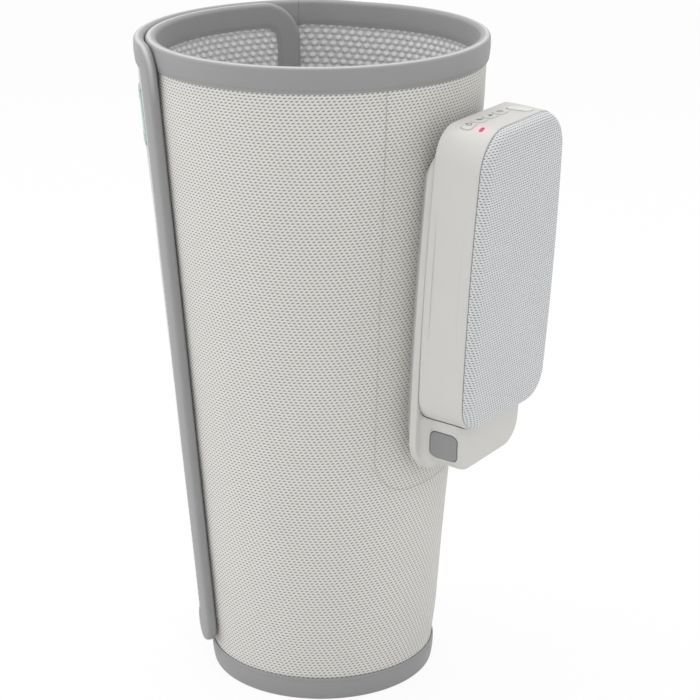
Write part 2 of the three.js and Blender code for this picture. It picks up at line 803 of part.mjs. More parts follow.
const socketHole = topPrism(
  socketWidth + 2 * (socketShell + seatGap),
  socketLength + 2 * (socketShell + seatGap),
  socketWidth,
  portSide,
  portBack,
).intersect(topOnly);
const housingCuts = [
  ...postHoles,
  ...nozzleHoles,
  ...latchSlots,
  ...buttonHoles.map((hole) => hole.intersect(topOnly)),
  lightPrism(layerGap).intersect(topOnly),
  coverSeat,
  socketHole,
];
const housingShell = joined(solid(outlineLoft(unitOutline, housingLevels)), grooveBlock);
addPiece(unit, "rear_housing", geometryOf(cutFrom(housingShell, grooveCut, ...housingCuts)), shell);

// The front: a frame with a domed face that plugs into the housing, and the cloth drawn over it.
const crownShares = [0.2, 0.5];
function domeLevels(under) {
  const levels = [];
  const steps = 4;
  for (let step = 0; step <= steps; step++) {
    const sweep = (step / steps) * (Math.PI / 2);
    const inset = frontInset + under + (frontEdgeWidth - under) * (1 - Math.cos(sweep));
    levels.push([inset, frontLip - (frontEdgeDepth - under) * Math.sin(sweep)]);
  }
  for (const share of crownShares) {
    const rise = frontCrown * (1 - (1 - share) * (1 - share));
    const inset = frontInset + frontEdgeWidth + share * (unitHalfWidth - frontEdgeWidth - sideBow);
    levels.push([inset, frontLip - frontEdgeDepth + under - rise]);
  }
  return levels;
}
const clothLevels = [...domeLevels(frontClothThickness).reverse(), ...domeLevels(0)];
addPiece(unit, "front_cloth", outlineLoft(unitOutline, clothLevels), weave);

const frameUnder = frontClothThickness + layerGap;
const plugLevels = [
  [innerEdge + frameWeb, framePlug],
  [innerEdge, framePlug],
  [innerEdge, frontLip],
  ...domeLevels(frameUnder),
];
const frameHollow = [
  [innerEdge + frameWeb, framePlug + overrun],
  [innerEdge + frameWeb, frontLip],
  [innerEdge + frontEdgeWidth, frontLip - frontEdgeDepth + frameUnder + frameWeb],
];
const posts = postPlaces.map(({ x, z }) => {
  const face = frontLip - frontEdgeDepth + frameUnder + frameWeb / 2;
  return solid(alongY(rod(postRadius, face, housingDepth - housingWall - seatGap, 10)).translate(x, 0, z));
});
const postBores = postPlaces.map(({ x, z }) =>
  solid(alongY(rod(screwShank + screwGap, 0, overrun, 10)).translate(x, framePlug, z)),
);
const frameBlank = solid(outlineLoft(unitOutline, plugLevels));
const frameBody = cutFrom(frameBlank, solid(outlineLoft(unitOutline, frameHollow)));
addPiece(unit, "front_frame", geometryOf(cutFrom(joined(frameBody, ...posts), ...postBores)), shell);

function screwBody(length) {
  const waist = screwHeadThickness;
  const head = [[0, 0], [screwHead, 0], [screwHead, waist]];
  return turned([...head, [screwShank, waist], [screwShank, length], [0, length]], 8);
}
for (const { name, x, z } of postPlaces) {
  const screw = alongY(screwBody(screwLength + housingWall)).rotateZ(Math.PI);
  const seat = backRecess + screwGap + screwHeadThickness;
  addPiece(unit, `housing_screw_${name}`, screw.translate(x, seat, z), steel);
}

// Buttons, light and charging port: each follows the curve of the top, cut from the grown housing.
function topPiece(prism, proud, depth) {
  const cap = prism.intersect(unitEnvelope(proud, -overrun)).intersect(topOnly);
  return cutFrom(cap, unitEnvelope(-depth, -overrun));
}
buttonNames.forEach((name, index) => {
  const prism = topPrism(buttonWidth, buttonDepth, buttonCorner, buttonSides[index], buttonBack);
  addPiece(unit, name, geometryOf(topPiece(prism, buttonProud, housingWall + buttonSkirt)), shell);
});
const lightPiece = topPiece(lightPrism(0), lightProud, housingWall + buttonSkirt);
addPiece(unit, "status_light", geometryOf(lightPiece), redLight);
addPiece(unit, "port_cover", geometryOf(topPiece(portPrism(0), portCoverProud, portCoverThickness)), shell);

// The charging socket below its cover: a pressed shell with a tongue in its mouth.
const portLevel = outlineTop(portSide) - portCoverThickness - 2 * seatGap;
const socketBar = (wall) =>
  roundedBar(socketWidth + 2 * wall, socketLength + 2 * wall, socketDepth, socketWidth);
const socketOuter = socketBar(socketShell);
const socketMouth = socketBar(0).translate(0, 0, socketShell);
const tongueSize = [tongueThickness, socketLength - socketWidth, socketDepth];
const tongue = box(tongueSize, [0, 0, socketDepth / 2 - socketShell]);
const socket = joined(cutFrom(solid(socketOuter), solid(socketMouth)), tongue.translate([0, 0, socketShell]));
const socketPlace = [portSide, portBack, portLevel - socketDepth];
addPiece(unit, "charge_socket", geometryOf(socket.translate(socketPlace)), steel);

// Inside the unit, from the front back: the main board, then what it and the housing carry.
const boardFront = framePlug + seatGap;
const boardBack = boardFront + boardThickness;
const boardBlank = solid(outlineLoft(unitOutline, [[boardInset, boardFront], [boardInset, boardBack]]));
const belowBoard = box([2 * overrun, overrun, overrun], [0, boardBack, -boardBottom - overrun / 2]);
const boardNotches = postPlaces.map(({ x, z }) =>
  solid(alongY(rod(postRadius + seatGap, 0, overrun, 12)).translate(x, 0, z)),
);
const socketNotch = box(
  [socketWidth + 2 * socketShell + 2 * seatGap, overrun, socketDepth + 2 * seatGap],
  [portSide, portBack, portLevel - socketDepth / 2],
);
const mainBoard = cutFrom(boardBlank, belowBoard, socketNotch, ...boardNotches);
addPiece(unit, "main_board", geometryOf(mainBoard), board);

const buttonBoardTop = unitHalfLength - buttonBoardDrop;
const buttonBoardRight = portSide - socketWidth / 2 - socketShell - seatGap;
const cavityBack = housingDepth - housingWall - seatGap;
const buttonBoardDepth = cavityBack - boardBack - seatGap;
const buttonBoardMiddle = (buttonBoardRight - buttonBoardEnd) / 2;
const buttonBoard = box(
  [buttonBoardEnd + buttonBoardRight, buttonBoardDepth, boardThickness],
  [buttonBoardMiddle, cavityBack - buttonBoardDepth / 2, buttonBoardTop - boardThickness / 2],
);
const switches = buttonSides.flatMap((side) => {
  const level = outlineTop(Math.abs(side) + plungerRadius, housingWall + buttonSkirt + cornerSag);
  const reach = level - buttonTravel - 2 * seatGap - buttonBoardTop;
  const seat = [side, buttonBack, buttonBoardTop + switchHeight / 2];
  const body = box([switchSize, switchSize, switchHeight], seat);
  return [body, solid(rod(plungerRadius, 0, reach, 8).translate(side, buttonBack, buttonBoardTop))];
});
addPiece(unit, "button_board", geometryOf(joined(buttonBoard, ...switches)), board);

const blockFront = housingDepth - housingWall - grooveDepth + layerGap - seatGap;
const batteryThickness = blockFront - boardBack - batteryFrontGap;
const batteryFoot = postHeight - batteryPostGap - batteryLength;
const batteryBar = roundedBar(batteryWidth, batteryThickness, batteryLength, batteryCorner);
const batteryPlace = [-batterySide, blockFront - batteryThickness / 2, batteryFoot];
addPiece(unit, "battery_pack", batteryBar.translate(...batteryPlace), film);

const pumpBack = cavityBack - cradleWall - seatGap - pumpRadius;
const motorFoot = motorTop - motorLength;
addPiece(unit, "pump_motor", rod(pumpRadius, motorFoot, motorTop).translate(pumpSide, pumpBack, 0), steel);
const headBar = roundedBar(pumpHeadSize, pumpHeadSize, pumpHeadLength, housingWall);
const headFoot = motorFoot - seatGap - pumpHeadLength;
addPiece(unit, "pump_head", headBar.translate(pumpSide, pumpBack, headFoot), film);
const cradle = pipe(pumpRadius + seatGap + cradleWall, pumpRadius + seatGap, 0, cradleLength);
addPiece(unit, "pump_cradle", cradle.translate(pumpSide, pumpBack, motorTop - 2 * cradleLength), rubber);

const valveFoot = -valveDrop - valveLength;
const valveFront = boardBack + seatGap;
const levels = ["lower", "middle", "upper"];
levels.forEach((level, index) => {
  const body = new THREE.BoxGeometry(valveSize, valveSize, valveLength);
  body.translate(index * valvePitch - valveSide, valveFront + valveSize / 2, valveFoot + valveLength / 2);
  addPiece(unit, `valve_${level}`, body, grip);
});
const manifoldHead = valveFoot - seatGap;
const manifoldDepth = blockFront - valveFront - manifoldBackGap;
const nozzleTip = nozzleRise - unitHalfLength - unitGap;
const stubFoot = nozzleTip + seatGap;
const stubRadius = nozzleRadius + stubWall;
const manifoldBlock = box(
  [manifoldWidth, manifoldDepth, manifoldHeight],
  [-manifoldSide, valveFront + manifoldDepth / 2, manifoldHead - manifoldHeight / 2],
);
const tubeLevel = manifoldHead - manifoldHeight / 2;
const stubs = nozzleSides.map((side) =>
  solid(rod(stubRadius, stubFoot, tubeLevel, 12).translate(side, nozzleBack, 0)),
);
const stubBores = nozzleSides.map((side) =>
  solid(rod(nozzleBore, stubFoot - overrun, tubeLevel, 8).translate(side, nozzleBack, 0)),
);
addPiece(unit, "air_manifold", geometryOf(cutFrom(joined(manifoldBlock, ...stubs), ...stubBores)), film);

// A hose of round section along a smooth route, cut square at both ends.
function hose(points) {
  const route = new THREE.CatmullRomCurve3(points.map((point) => new THREE.Vector3(...point)));
  const section = new THREE.Shape().absarc(0, 0, hoseRadius, 0, Math.PI * 2);
  const steps = Math.ceil(route.getLength() / hoseStep) + points.length;
  const options = { extrudePath: route, steps, curveSegments: 4, bevelEnabled: false };
  return new THREE.ExtrudeGeometry(section, options);
}
const manifoldRight = manifoldWidth / 2 - manifoldSide + seatGap;
const pumpTube = hose([
  [pumpSide, pumpBack, headFoot - seatGap],
  [pumpSide, pumpBack, tubeLevel + 2 * pumpRadius],
  [pumpSide - hoseRadius, pumpBack, tubeLevel + hoseRadius],
  [manifoldRight + hoseRadius, pumpBack, tubeLevel],
  [manifoldRight, pumpBack, tubeLevel],
]);
addPiece(unit, "pump_tube", pumpTube, rubber);

// The dock: tray, tapered back cut to the cone, foot with its cavity, bosses and the dovetail rail.
const trayFront = housingDepth + unitGap;
const trayBack = trayFront + trayThickness;
const taperShares = [[0.125, 0.075], [0.4, 0.21], [0.7, 0.4], [0.9, 0.6], [1, 1]];
const taperLevels = (wall) => [
  [wall, trayBack],
  ...taperShares.map(([inset, depth]) => [wall + inset * dockTaperInset, trayBack + depth * dockTaperDepth]),
];
const trayLevels = [[trayEdge, trayFront], [0, trayFront + trayEdge], ...taperLevels(0)];
const trayOutside = solid(outlineLoft(dockOutline, trayLevels));
const hollowLevels = [[dockWall, trayFront + dockWall], ...taperLevels(dockWall)];
const trayHollow = solid(outlineLoft(dockOutline, hollowLevels));
const footFilletLevels = filletLevels(0, -footFront, footFillet);
const footLevels = footFilletLevels.map(([inset, depth]) => [inset, -depth]).reverse();
const footBlank = solid(outlineLoft(footOutline, [...footLevels, [0, trayBack]]));
const belowFootTop = box([3 * overrun, 3 * overrun, overrun], [0, 0, -footTop - overrun / 2]);
const unitSpace = solid(outlineLoft(unitOutline, [[-unitGap, -overrun], [-unitGap, trayFront]]));
const foot = cutFrom(footBlank.intersect(belowFootTop), unitSpace);
const footHollowTop = unitHalfLength + unitGap + footPlate;
const footHollowLevels = [[dockWall, footFront + dockWall], [dockWall, trayBack]];
const footHollow = solid(outlineLoft(footOutline, footHollowLevels)).intersect(
  box([3 * overrun, 3 * overrun, overrun], [0, 0, -footHollowTop - overrun / 2]),
);
unit.updateMatrix();
const intoUnit = unit.matrix.clone().invert();
const inUnit = (frame) => intoUnit.clone().multiply(frame);
const coneFoot = coneRadius(-overrun) + seatGap;
const coneHead = coneRadius(wrapHeight) + seatGap;
const coneBody = turned([[0, -overrun], [coneFoot, -overrun], [coneHead, wrapHeight], [0, wrapHeight]], 72);
const coneTool = solid(coneBody.applyMatrix4(intoUnit));
const bossRadius = screwShank + screwGap + bossWall;
const bosses = screwPlaces.map(({ frame }) =>
  onSkin(rod(bossRadius, 0, overrun, 12), inUnit(frame)).intersect(trayOutside),
);
const bossBores = screwPlaces.map(({ frame }) =>
  onSkin(rod(screwShank + screwGap, 0, screwLength - holeDepth + screwGap, 10), inUnit(frame)),
);
const rail = dovetail(0, -railBottom, railTop).translate([0, railBase, 0]);
const springSeat = latchSide - springLength - 2 * seatGap;
const ribs = [-1, 1].map((sense) =>
  box(
    [pocketWall, latchWidth + 2 * pocketWall, footHollowTop],
    [sense * (springSeat - pocketWall / 2), releaseBack, -dockBottom],
  ).intersect(footHollow),
);
function releasePrism(sense, grow) {
  const bar = roundedBar(releaseHeight + 2 * grow, releaseDepth + 2 * grow, overrun, releaseCorner + grow);
  bar.rotateY(Math.PI / 2).translate(sense > 0 ? 0 : -overrun, releaseBack, -releaseDrop);
  return solid(bar);
}
const releaseInside = footHalfWidth - releaseCap;
const outsideOnly = (sense, from) =>
  box([overrun, overrun, 3 * overrun], [sense * (from + overrun / 2), overrun / 2, -overrun]);
const releasePockets = [-1, 1].map((sense) =>
  releasePrism(sense, buttonGap).intersect(outsideOnly(sense, releaseInside - releaseTravel - seatGap)),
);
const stemSpace = [-1, 1].map((sense) =>
  box(
    [releaseInside - latchSide + releaseTravel, releaseStem + 2 * seatGap, releaseStem + 2 * seatGap],
    [sense * ((releaseInside + latchSide) / 2), releaseBack, -releaseStemDrop],
  ),
);
const plateSlotLevel = 1.5 * footPlate - footHollowTop;
const dockLatchSlots = [-1, 1].map((sense) => latchSlot(sense, 5 * footPlate, plateSlotLevel));
const plateHole = rod(nozzleRadius + seatGap, -footHollowTop - footPlate, -unitHalfLength, 12);
const nozzlePlateHoles = nozzleSides.map((side) => solid(plateHole.clone().translate(side, nozzleBack, 0)));
const dockBody = cutFrom(
  joined(cutFrom(joined(trayOutside, foot), trayHollow, footHollow), ...ribs, ...bosses, rail),
  coneTool,
  ...bossBores,
  ...releasePockets,
  ...stemSpace,
  ...dockLatchSlots,
  ...nozzlePlateHoles,
);
addPiece(unit, "dock_shell", geometryOf(dockBody), shell);

// Release buttons with their latch arms, and the springs that push them out.
const footEnvelope = (grow) => {
  const levels = footLevels.map(([inset, depth]) => [inset - grow, depth]);
  return solid(outlineLoft(footOutline, [...levels, [-grow, trayBack]]));
};
const stemFoot = releaseStemDrop + releaseStem / 2;
const latchDepth = latchThickness + latchNose;
for (const [hand, sense] of [["left", -1], ["right", 1]]) {
  const capBar = releasePrism(sense, 0).intersect(footEnvelope(releaseProud));
  const cap = capBar.intersect(outsideOnly(sense, releaseInside));
  const stem = box(
    [releaseInside + seatGap - latchSide, releaseStem, releaseStem],
    [sense * ((releaseInside + seatGap + latchSide) / 2), releaseBack, -releaseStemDrop],
  );
  const arm = box(
    [latchThickness, latchWidth, latchRise],
    [sense * (latchSide + latchThickness / 2), releaseBack, latchRise / 2 - stemFoot],
  );
  const nose = box(
    [latchDepth, latchWidth, latchNoseHeight],
    [sense * (latchSide + latchDepth / 2), releaseBack, latchRise - latchNoseHeight / 2 - stemFoot],
  );
  addPiece(unit, `release_button_${hand}`, geometryOf(joined(cap, stem, arm, nose)), grip);
  const spring = coil(springRadius, springWire, springTurns, springLength).rotateY((sense * -Math.PI) / 2);
  const place = [sense * (latchSide - seatGap), releaseBack, -releaseStemDrop];
  addPiece(unit, `release_spring_${hand}`, spring.translate(...place), steel);
}

// A compression spring along +Z, its wire ends inside its length.
function coil(radius, wire, turns, length) {
  const rings = [];
  const rise = length - 2 * wire;
  for (let step = 0; step <= turns * springSteps; step++) {
    const angle = (step / springSteps) * Math.PI * 2;
    const level = wire + (rise * step) / (turns * springSteps);
    const ring = [];
    for (let side = 0; side < springSides; side++) {
      const around = (side / springSides) * Math.PI * 2;
      const reach = radius + wire * Math.cos(around);
      const rim = level + wire * Math.sin(around);
      ring.push(new THREE.Vector3(reach * Math.cos(angle), reach * Math.sin(angle), rim));
    }
    rings.push(ring);
  }
  const section = rings[0].map((point) => new THREE.Vector2(point.x, point.z));
  return loft(rings, section);
}

// Air nozzles between foot and unit, with a seal round each, and the hoses up to the ports in the cloth.
const nozzleHead = -footHollowTop - seatGap;
const baseDepth = 2 * (nozzleRadius + nozzleBaseMargin);
const baseMiddle = nozzleHead - nozzleBaseThickness / 2;
const nozzleBase = box(
  [2 * (nozzlePitch + nozzleRadius + nozzleBaseMargin / 2), baseDepth, nozzleBaseThickness],
  [0, nozzleBack, baseMiddle],
);
const nozzleStems = nozzleSides.map((side) =>
  solid(rod(nozzleRadius, baseMiddle, nozzleTip, 12).translate(side, nozzleBack, 0)),
);
const nozzleBores = nozzleSides.map((side) =>
  solid(rod(nozzleBore, baseMiddle, nozzleTip + seatGap, 8).translate(side, nozzleBack, 0)),
);
addPiece(unit, "air_coupling", geometryOf(cutFrom(joined(nozzleBase, ...nozzleStems), ...nozzleBores)), film);
const portSides = Object.fromEntries(levels.map((level, index) => [level, nozzleSides[2 - index]]));
const sealLevel = sealWire + seatGap - unitHalfLength - unitGap;
nozzleSides.forEach((side, index) => {
  const seal = new THREE.TorusGeometry(nozzleRadius + seatGap + sealWire, sealWire, 5, 10);
  addPiece(unit, `nozzle_seal_${levels[2 - index]}`, seal.translate(side, nozzleBack, sealLevel), rubber);
});
for (const { level, frame } of portFrames) {
  const flange = solid(rod(airFlange, seatGap, seatGap + airFlangeThickness, 12));
  const stem = solid(rod(airStem, seatGap - bladderDepth, airStemLength, 8));
  const nippleLevel = airStemLength - nippleRadius;
  const nippleRod = rod(nippleRadius, 0, nippleLength, 8).rotateX(Math.PI / 2);
  const nipple = solid(nippleRod.translate(0, 0, nippleLevel));
  const bore = solid(rod(airBore, -overrun, nippleLevel, 8));
  const port = cutFrom(joined(flange, stem, nipple), bore);
  addPiece(wrap, `air_port_${level}`, geometryOf(port).applyMatrix4(frame), film);
  const local = inUnit(frame);
  const mouth = -nippleLength - seatGap;
  const end = new THREE.Vector3(0, mouth, nippleLevel).applyMatrix4(local);
  const before = new THREE.Vector3(0, mouth - 3 * hoseRadius, nippleLevel).applyMatrix4(local);
  const side = portSides[level];
  const start = nozzleBack + baseDepth / 2 + seatGap;
  const climb = baseMiddle + hoseClimb;
  const bend = before.z > climb ? [[side, before.y, climb], [side, before.y, climb + hoseClimb]] : [];
  const out = [side, trayFront + dockWall + hoseRadius + seatGap, baseMiddle];
  const route = [[side, start, baseMiddle], out, ...bend, before.toArray(), end.toArray()];
  addPiece(unit, `hose_${level}`, hose(route), rubber);
}
for (const { name, frame } of screwPlaces) {
  const screw = screwBody(screwLength).translate(0, 0, -holeDepth);
  addPiece(wrap, `dock_screw_${name}`, screw.applyMatrix4(frame), steel);
}

// The frame's origin goes under the middle of the plan.
part.updateMatrixWorld(true);
const middle = new THREE.Box3().setFromObject(part).getCenter(new THREE.Vector3());
part.position.set(-middle.x, -middle.y, 0);

export default part;
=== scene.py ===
import math

import bmesh
import bpy
from mathutils import Matrix, Vector, noise


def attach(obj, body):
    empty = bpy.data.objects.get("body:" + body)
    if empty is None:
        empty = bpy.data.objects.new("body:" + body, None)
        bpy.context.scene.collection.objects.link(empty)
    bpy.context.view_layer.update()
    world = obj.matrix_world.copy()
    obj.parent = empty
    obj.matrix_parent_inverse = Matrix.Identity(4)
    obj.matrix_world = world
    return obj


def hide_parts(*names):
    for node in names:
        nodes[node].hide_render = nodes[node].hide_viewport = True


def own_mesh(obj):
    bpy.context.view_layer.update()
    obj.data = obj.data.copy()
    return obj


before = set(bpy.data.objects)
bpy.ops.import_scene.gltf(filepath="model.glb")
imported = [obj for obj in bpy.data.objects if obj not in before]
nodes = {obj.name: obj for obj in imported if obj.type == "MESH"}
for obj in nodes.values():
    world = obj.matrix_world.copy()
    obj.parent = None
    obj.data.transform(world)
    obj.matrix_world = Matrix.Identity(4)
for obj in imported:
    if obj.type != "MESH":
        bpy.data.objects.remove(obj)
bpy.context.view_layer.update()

scene = bpy.context.scene
mm = 0.001
planShift = 14.080186  # the part's origin lies under the middle of its plan

# The wrap is one sheet on a cone: lengths in millimetres, turns round its axis in degrees
cone = {
    "height": 320.0, "topRadius": 80.0, "footRadius": 54.4, "innerEnd": 40.0, "root": 400.0,
    "rootGap": 0.05, "freeEnd": 508.0, "rampStart": 373.36, "rampEnd": 397.12, "lift": 5.55,
    "thickness": 3.2, "sheetInset": 1.65, "flapRise": 14.0, "innerCorner": 19.0, "flapCorner": 12.0,
    "unitTurn": 270.0,
}

# The pump unit's own frame: x to its right, y into it, z up, in millimetres
unitSeat = {"tilt": math.radians(3.785), "radius": 105.125, "height": 220.3}
unitMatrix = (
    Matrix.Scale(mm, 4)
    @ Matrix.Translation((0, planShift - unitSeat["radius"], unitSeat["height"]))
    @ Matrix.Rotation(unitSeat["tilt"], 4, "X")
)


def smoothStep(value, low, high):
    share = min(max((value - low) / (high - low), 0.0), 1.0)
    return share * share * (3 - 2 * share)


def quarterTurn(steps, first=0):
    # the cosine and sine at even steps of a quarter turn
    angles = [step / steps * math.pi / 2 for step in range(first, steps + 1)]
    return [(math.cos(angle), math.sin(angle)) for angle in angles]


def coneRadius(height):
    return cone["footRadius"] + (cone["topRadius"] - cone["footRadius"]) * height / cone["height"]


def turnOf(length, height):
    return math.degrees(length / coneRadius(height))


def lengthOf(turn, height):
    return math.radians(turn) * coneRadius(height)


def place(x, y, z):
    return Vector((x, y + planShift, z)) * mm


def skin(turn, height, depth):
    # a point of the wrap, at a depth below its outer face
    lift = cone["lift"] * smoothStep(turn, cone["rampStart"], cone["rampEnd"])
    radius = coneRadius(height) + lift - depth
    angle = math.radians(turn)
    return place(radius * math.cos(angle), radius * math.sin(angle), height)


def flatFoot(turn):
    return 0.0


def flapFoot(turn):
    end = cone["freeEnd"] - turnOf(cone["flapCorner"], 0)
    return cone["flapRise"] * smoothStep(turn, cone["root"], end)


def linear(red, green, blue):
    def channel(value):
        value /= 255
        return value / 12.92 if value <= 0.04045 else ((value + 0.055) / 1.055) ** 2.4

    return (channel(red), channel(green), channel(blue), 1.0)


# Node maths: one socket with the arithmetic that the finishes use
class Wire:
    def __init__(self, tree, socket=None):
        self.tree = tree
        self.socket = socket

    def node(self, kind, settings=None, values=None, out=0):
        made = self.tree.nodes.new(kind)
        for name, value in (settings or {}).items():
            setattr(made, name, value)
        for name, value in (values or {}).items():
            if isinstance(value, Wire):
                self.tree.links.new(value.socket, made.inputs[name])
            else:
                made.inputs[name].default_value = value
        return Wire(self.tree, made.outputs[out])

    def also(self, name):
        return Wire(self.tree, self.socket.node.outputs[name])

    def maths(self, operation, first, second):
        sides = [first, second]
        if any(isinstance(side, Wire) and side.socket.type == "RGBA" for side in sides):
            sides = [side if isinstance(side, Wire) else (side, side, side, 1) for side in sides]
            settings = {"data_type": "RGBA", "blend_type": operation}
            return self.node("ShaderNodeMix", settings, {0: 1.0, 6: sides[0], 7: sides[1]}, out=2)
        return self.node("ShaderNodeMath", {"operation": operation}, {0: first, 1: second})

    def __add__(self, other):
        return self.maths("ADD", self, other)

    def __radd__(self, other):
        return self.maths("ADD", other, self)

    def __sub__(self, other):
        return self.maths("SUBTRACT", self, other)

    def __rsub__(self, other):
        return self.maths("SUBTRACT", other, self)

    def __mul__(self, other):
        return self.maths("MULTIPLY", self, other)

    def __rmul__(self, other):
        return self.maths("MULTIPLY", other, self)

    def __truediv__(self, other):
        return self.maths("DIVIDE", self, other)


def reckon(wire, operation, other=0.0):
    return wire.node("ShaderNodeMath", {"operation": operation}, {0: wire, 1: other})


def absolute(wire):
    return reckon(wire, "ABSOLUTE")


def wave(wire, pitch):
    return reckon(wire / (pitch * mm) * math.tau, "SINE")


def fade(wire, low, high):
    settings = {"interpolation_type": "SMOOTHSTEP"}
    return wire.node("ShaderNodeMapRange", settings, {"Value": wire, "From Min": low, "From Max": high})


def tint(mask, colour, over):
    settings = {"data_type": "RGBA", "blend_type": "MIX"}
    return mask.node("ShaderNodeMix", settings, {0: mask, 6: colour, 7: over}, out=2)


def parts(vector):
    split = vector.node("ShaderNodeSeparateXYZ", None, {0: vector})
    return [split.also(name) for name in "XYZ"]


def grainOf(where, scale, detail=2.0):
    return where.node("ShaderNodeTexNoise", None, {"Vector": where, "Scale": scale, "Detail": detail})


def cellsOf(where, scale, feature="F1", distance="EUCLIDEAN"):
    settings = {"feature": feature, "distance": distance}
    return where.node("ShaderNodeTexVoronoi", settings, {"Vector": where, "Scale": scale})


def cellPlace(along, up, grid):
    # where a point lies in its cell, on a grid whose rows are each shifted against the last
    line = up / (grid["row"] * mm)
    across = along / (grid["pitch"] * mm) + reckon(line, "FLOOR") * grid["shift"]
    return reckon(across, "FRACT") - 0.5, reckon(line, "FRACT") - 0.5


# Finishes: each is a material on the principled shader, with its constants on the shader's own sockets
class Finish:
    def __init__(self, name, colour, roughness, constants=None):
        self.colour = colour
        self.material = bpy.data.materials.new(name)
        self.material.use_nodes = True
        self.material.diffuse_color = colour
        tree = self.material.node_tree
        self.shader = tree.nodes["Principled BSDF"]
        self.shader.inputs["Base Color"].default_value = colour
        self.shader.inputs["Roughness"].default_value = roughness
        for socket, value in (constants or {}).items():
            self.shader.inputs[socket].default_value = value
        start = Wire(tree)
        self.cloth = start.node("ShaderNodeTexCoord", out=2)  # the piece's own UV map, in metres
        self.body = start.node("ShaderNodeTexCoord", out=3)  # object coordinates, in metres

    def feed(self, socket, wire):
        self.material.node_tree.links.new(wire.socket, self.shader.inputs[socket])

    def shaded(self, light):
        return tint(light, (0, 0, 0, 1), self.colour)

    def relief(self, height, distance, strength=1.0):
        values = {"Strength": strength, "Distance": distance * mm, "Height": height}
        self.feed("Normal", height.node("ShaderNodeBump", None, values))


wallKnit = {
    "hole": linear(134, 133, 131), "pitch": 2.35, "row": 1.42, "turn": 0.0, "shift": 0.373,
    "slant": math.radians(12), "holeLength": 1.35, "holeHeight": 0.62, "holeEdge": (0.25, 0.75),
    "fibreScale": 1400.0, "driftScale": 22.0, "depth": 0.35,
}
frontKnit = {
    **wallKnit,
    "hole": linear(128, 130, 133),
    "pitch": 1.95,
    "row": 1.23,
    "turn": math.radians(1.0),
    "shift": 0.32,
    "slant": 0.0,
    "holeLength": 1.3,
    "holeHeight": 0.52,
    "depth": 0.22,
}
seam = {
    "halfTurn": 34.4, "foot": 109.0, "top": 306.0, "corner": 20.0, "line": (0.1, 0.42),
    "strength": 0.3, "sink": 1.2, "sideSteps": 79, "cornerSteps": 15, "footSteps": 10,
}


def seamLine(along, up):
    # the patch seam behind the pump unit: two sides and a foot, with round corners
    half = coneRadius(up / mm) * math.radians(seam["halfTurn"])
    side = absolute(along / mm) - half + seam["corner"]
    below = seam["foot"] + seam["corner"] - up / mm
    outX, outY = reckon(side, "MAXIMUM"), reckon(below, "MAXIMUM")
    inside = reckon(reckon(side, "MAXIMUM", below), "MINIMUM")
    away = reckon(outX * outX + outY * outY, "SQRT") + inside
    return 1 - fade(absolute(away - seam["corner"]), *seam["line"])


def knitFinish(name, colour, knit, seamed=False):
    # an open knit: rows of slanted oval holes, each row shifted against the next
    made = Finish(name, colour, 0.88, {"Sheen Weight": 0.12, "Sheen Roughness": 0.6})
    along, up, _ = parts(made.cloth)
    cos, sin = math.cos(knit["turn"]), math.sin(knit["turn"])
    across, rise = cellPlace(along * cos - up * sin, along * sin + up * cos, knit)
    x, y = across * knit["pitch"], rise * knit["row"]
    cos, sin = math.cos(knit["slant"]), math.sin(knit["slant"])
    major = (x * cos + y * sin) / knit["holeLength"]
    minor = (y * cos - x * sin) / knit["holeHeight"]
    hole = 1 - fade(reckon(major * major + minor * minor, "SQRT"), *knit["holeEdge"])
    fibre = grainOf(made.cloth, knit["fibreScale"])
    drift = grainOf(made.cloth, knit["driftScale"])
    yarn = absolute(across) + absolute(rise)
    ground = tint(hole, colour, knit["hole"]) * (0.93 + fibre * 0.07 + drift * 0.05 + yarn * 0.03)
    height = yarn * 0.25 + fibre * 0.3 - hole
    if seamed:
        line = seamLine(along, up)
        ground = tint(line * seam["strength"], ground, knit["hole"])
        height = height - line * seam["sink"]
    made.feed("Base Color", ground)
    made.feed("Roughness", 0.84 + fibre * 0.1)
    made.relief(height, knit["depth"], 0.55)
    return made.material


spacer = {
    "pitch": 4.6, "row": 3.0, "shift": 0.5, "roundness": (4.6, 3.4), "bumpEdge": (0.3, 1.05),
    "fibreScale": 1100.0, "depth": 0.9,
}


def spacerFinish(name, colour, dark):
    # the dimpled spacer mesh of the lining, with painted shade in the hollows between its bumps
    made = Finish(name, colour, 0.9, {"Sheen Weight": 0.15, "Sheen Roughness": 0.6})
    along, up, _ = parts(made.cloth)
    across, rise = cellPlace(along, up, spacer)
    wide, tall = spacer["roundness"]
    bump = 1 - fade(reckon(across * across * wide + rise * rise * tall, "SQRT"), *spacer["bumpEdge"])
    fibre = grainOf(made.cloth, spacer["fibreScale"], 3.0)
    # painted shade: the hollows between the bumps take the darker colour and the bumps the pale one, as light
    # from above would fall on them
    made.feed("Base Color", tint(bump, dark, colour) * (0.85 + fibre * 0.3))
    made.relief(bump + fibre * 0.2, spacer["depth"], 0.8)
    return made.material


tapeWeave = {"rib": 0.55, "thread": 0.4, "fibreScale": 900.0, "driftScale": 30.0, "depth": 0.06}
# A painted highlight: a paler band painted along the top of the tape's fold, on the upper rim only, where
# light from above falls
rimHighlight = {
    "across": 13.0, "bright": 0.1, "reach": 1.7, "strength": 0.75, "colour": linear(206, 206, 207),
    "rim": (290.0, 314.0),
}


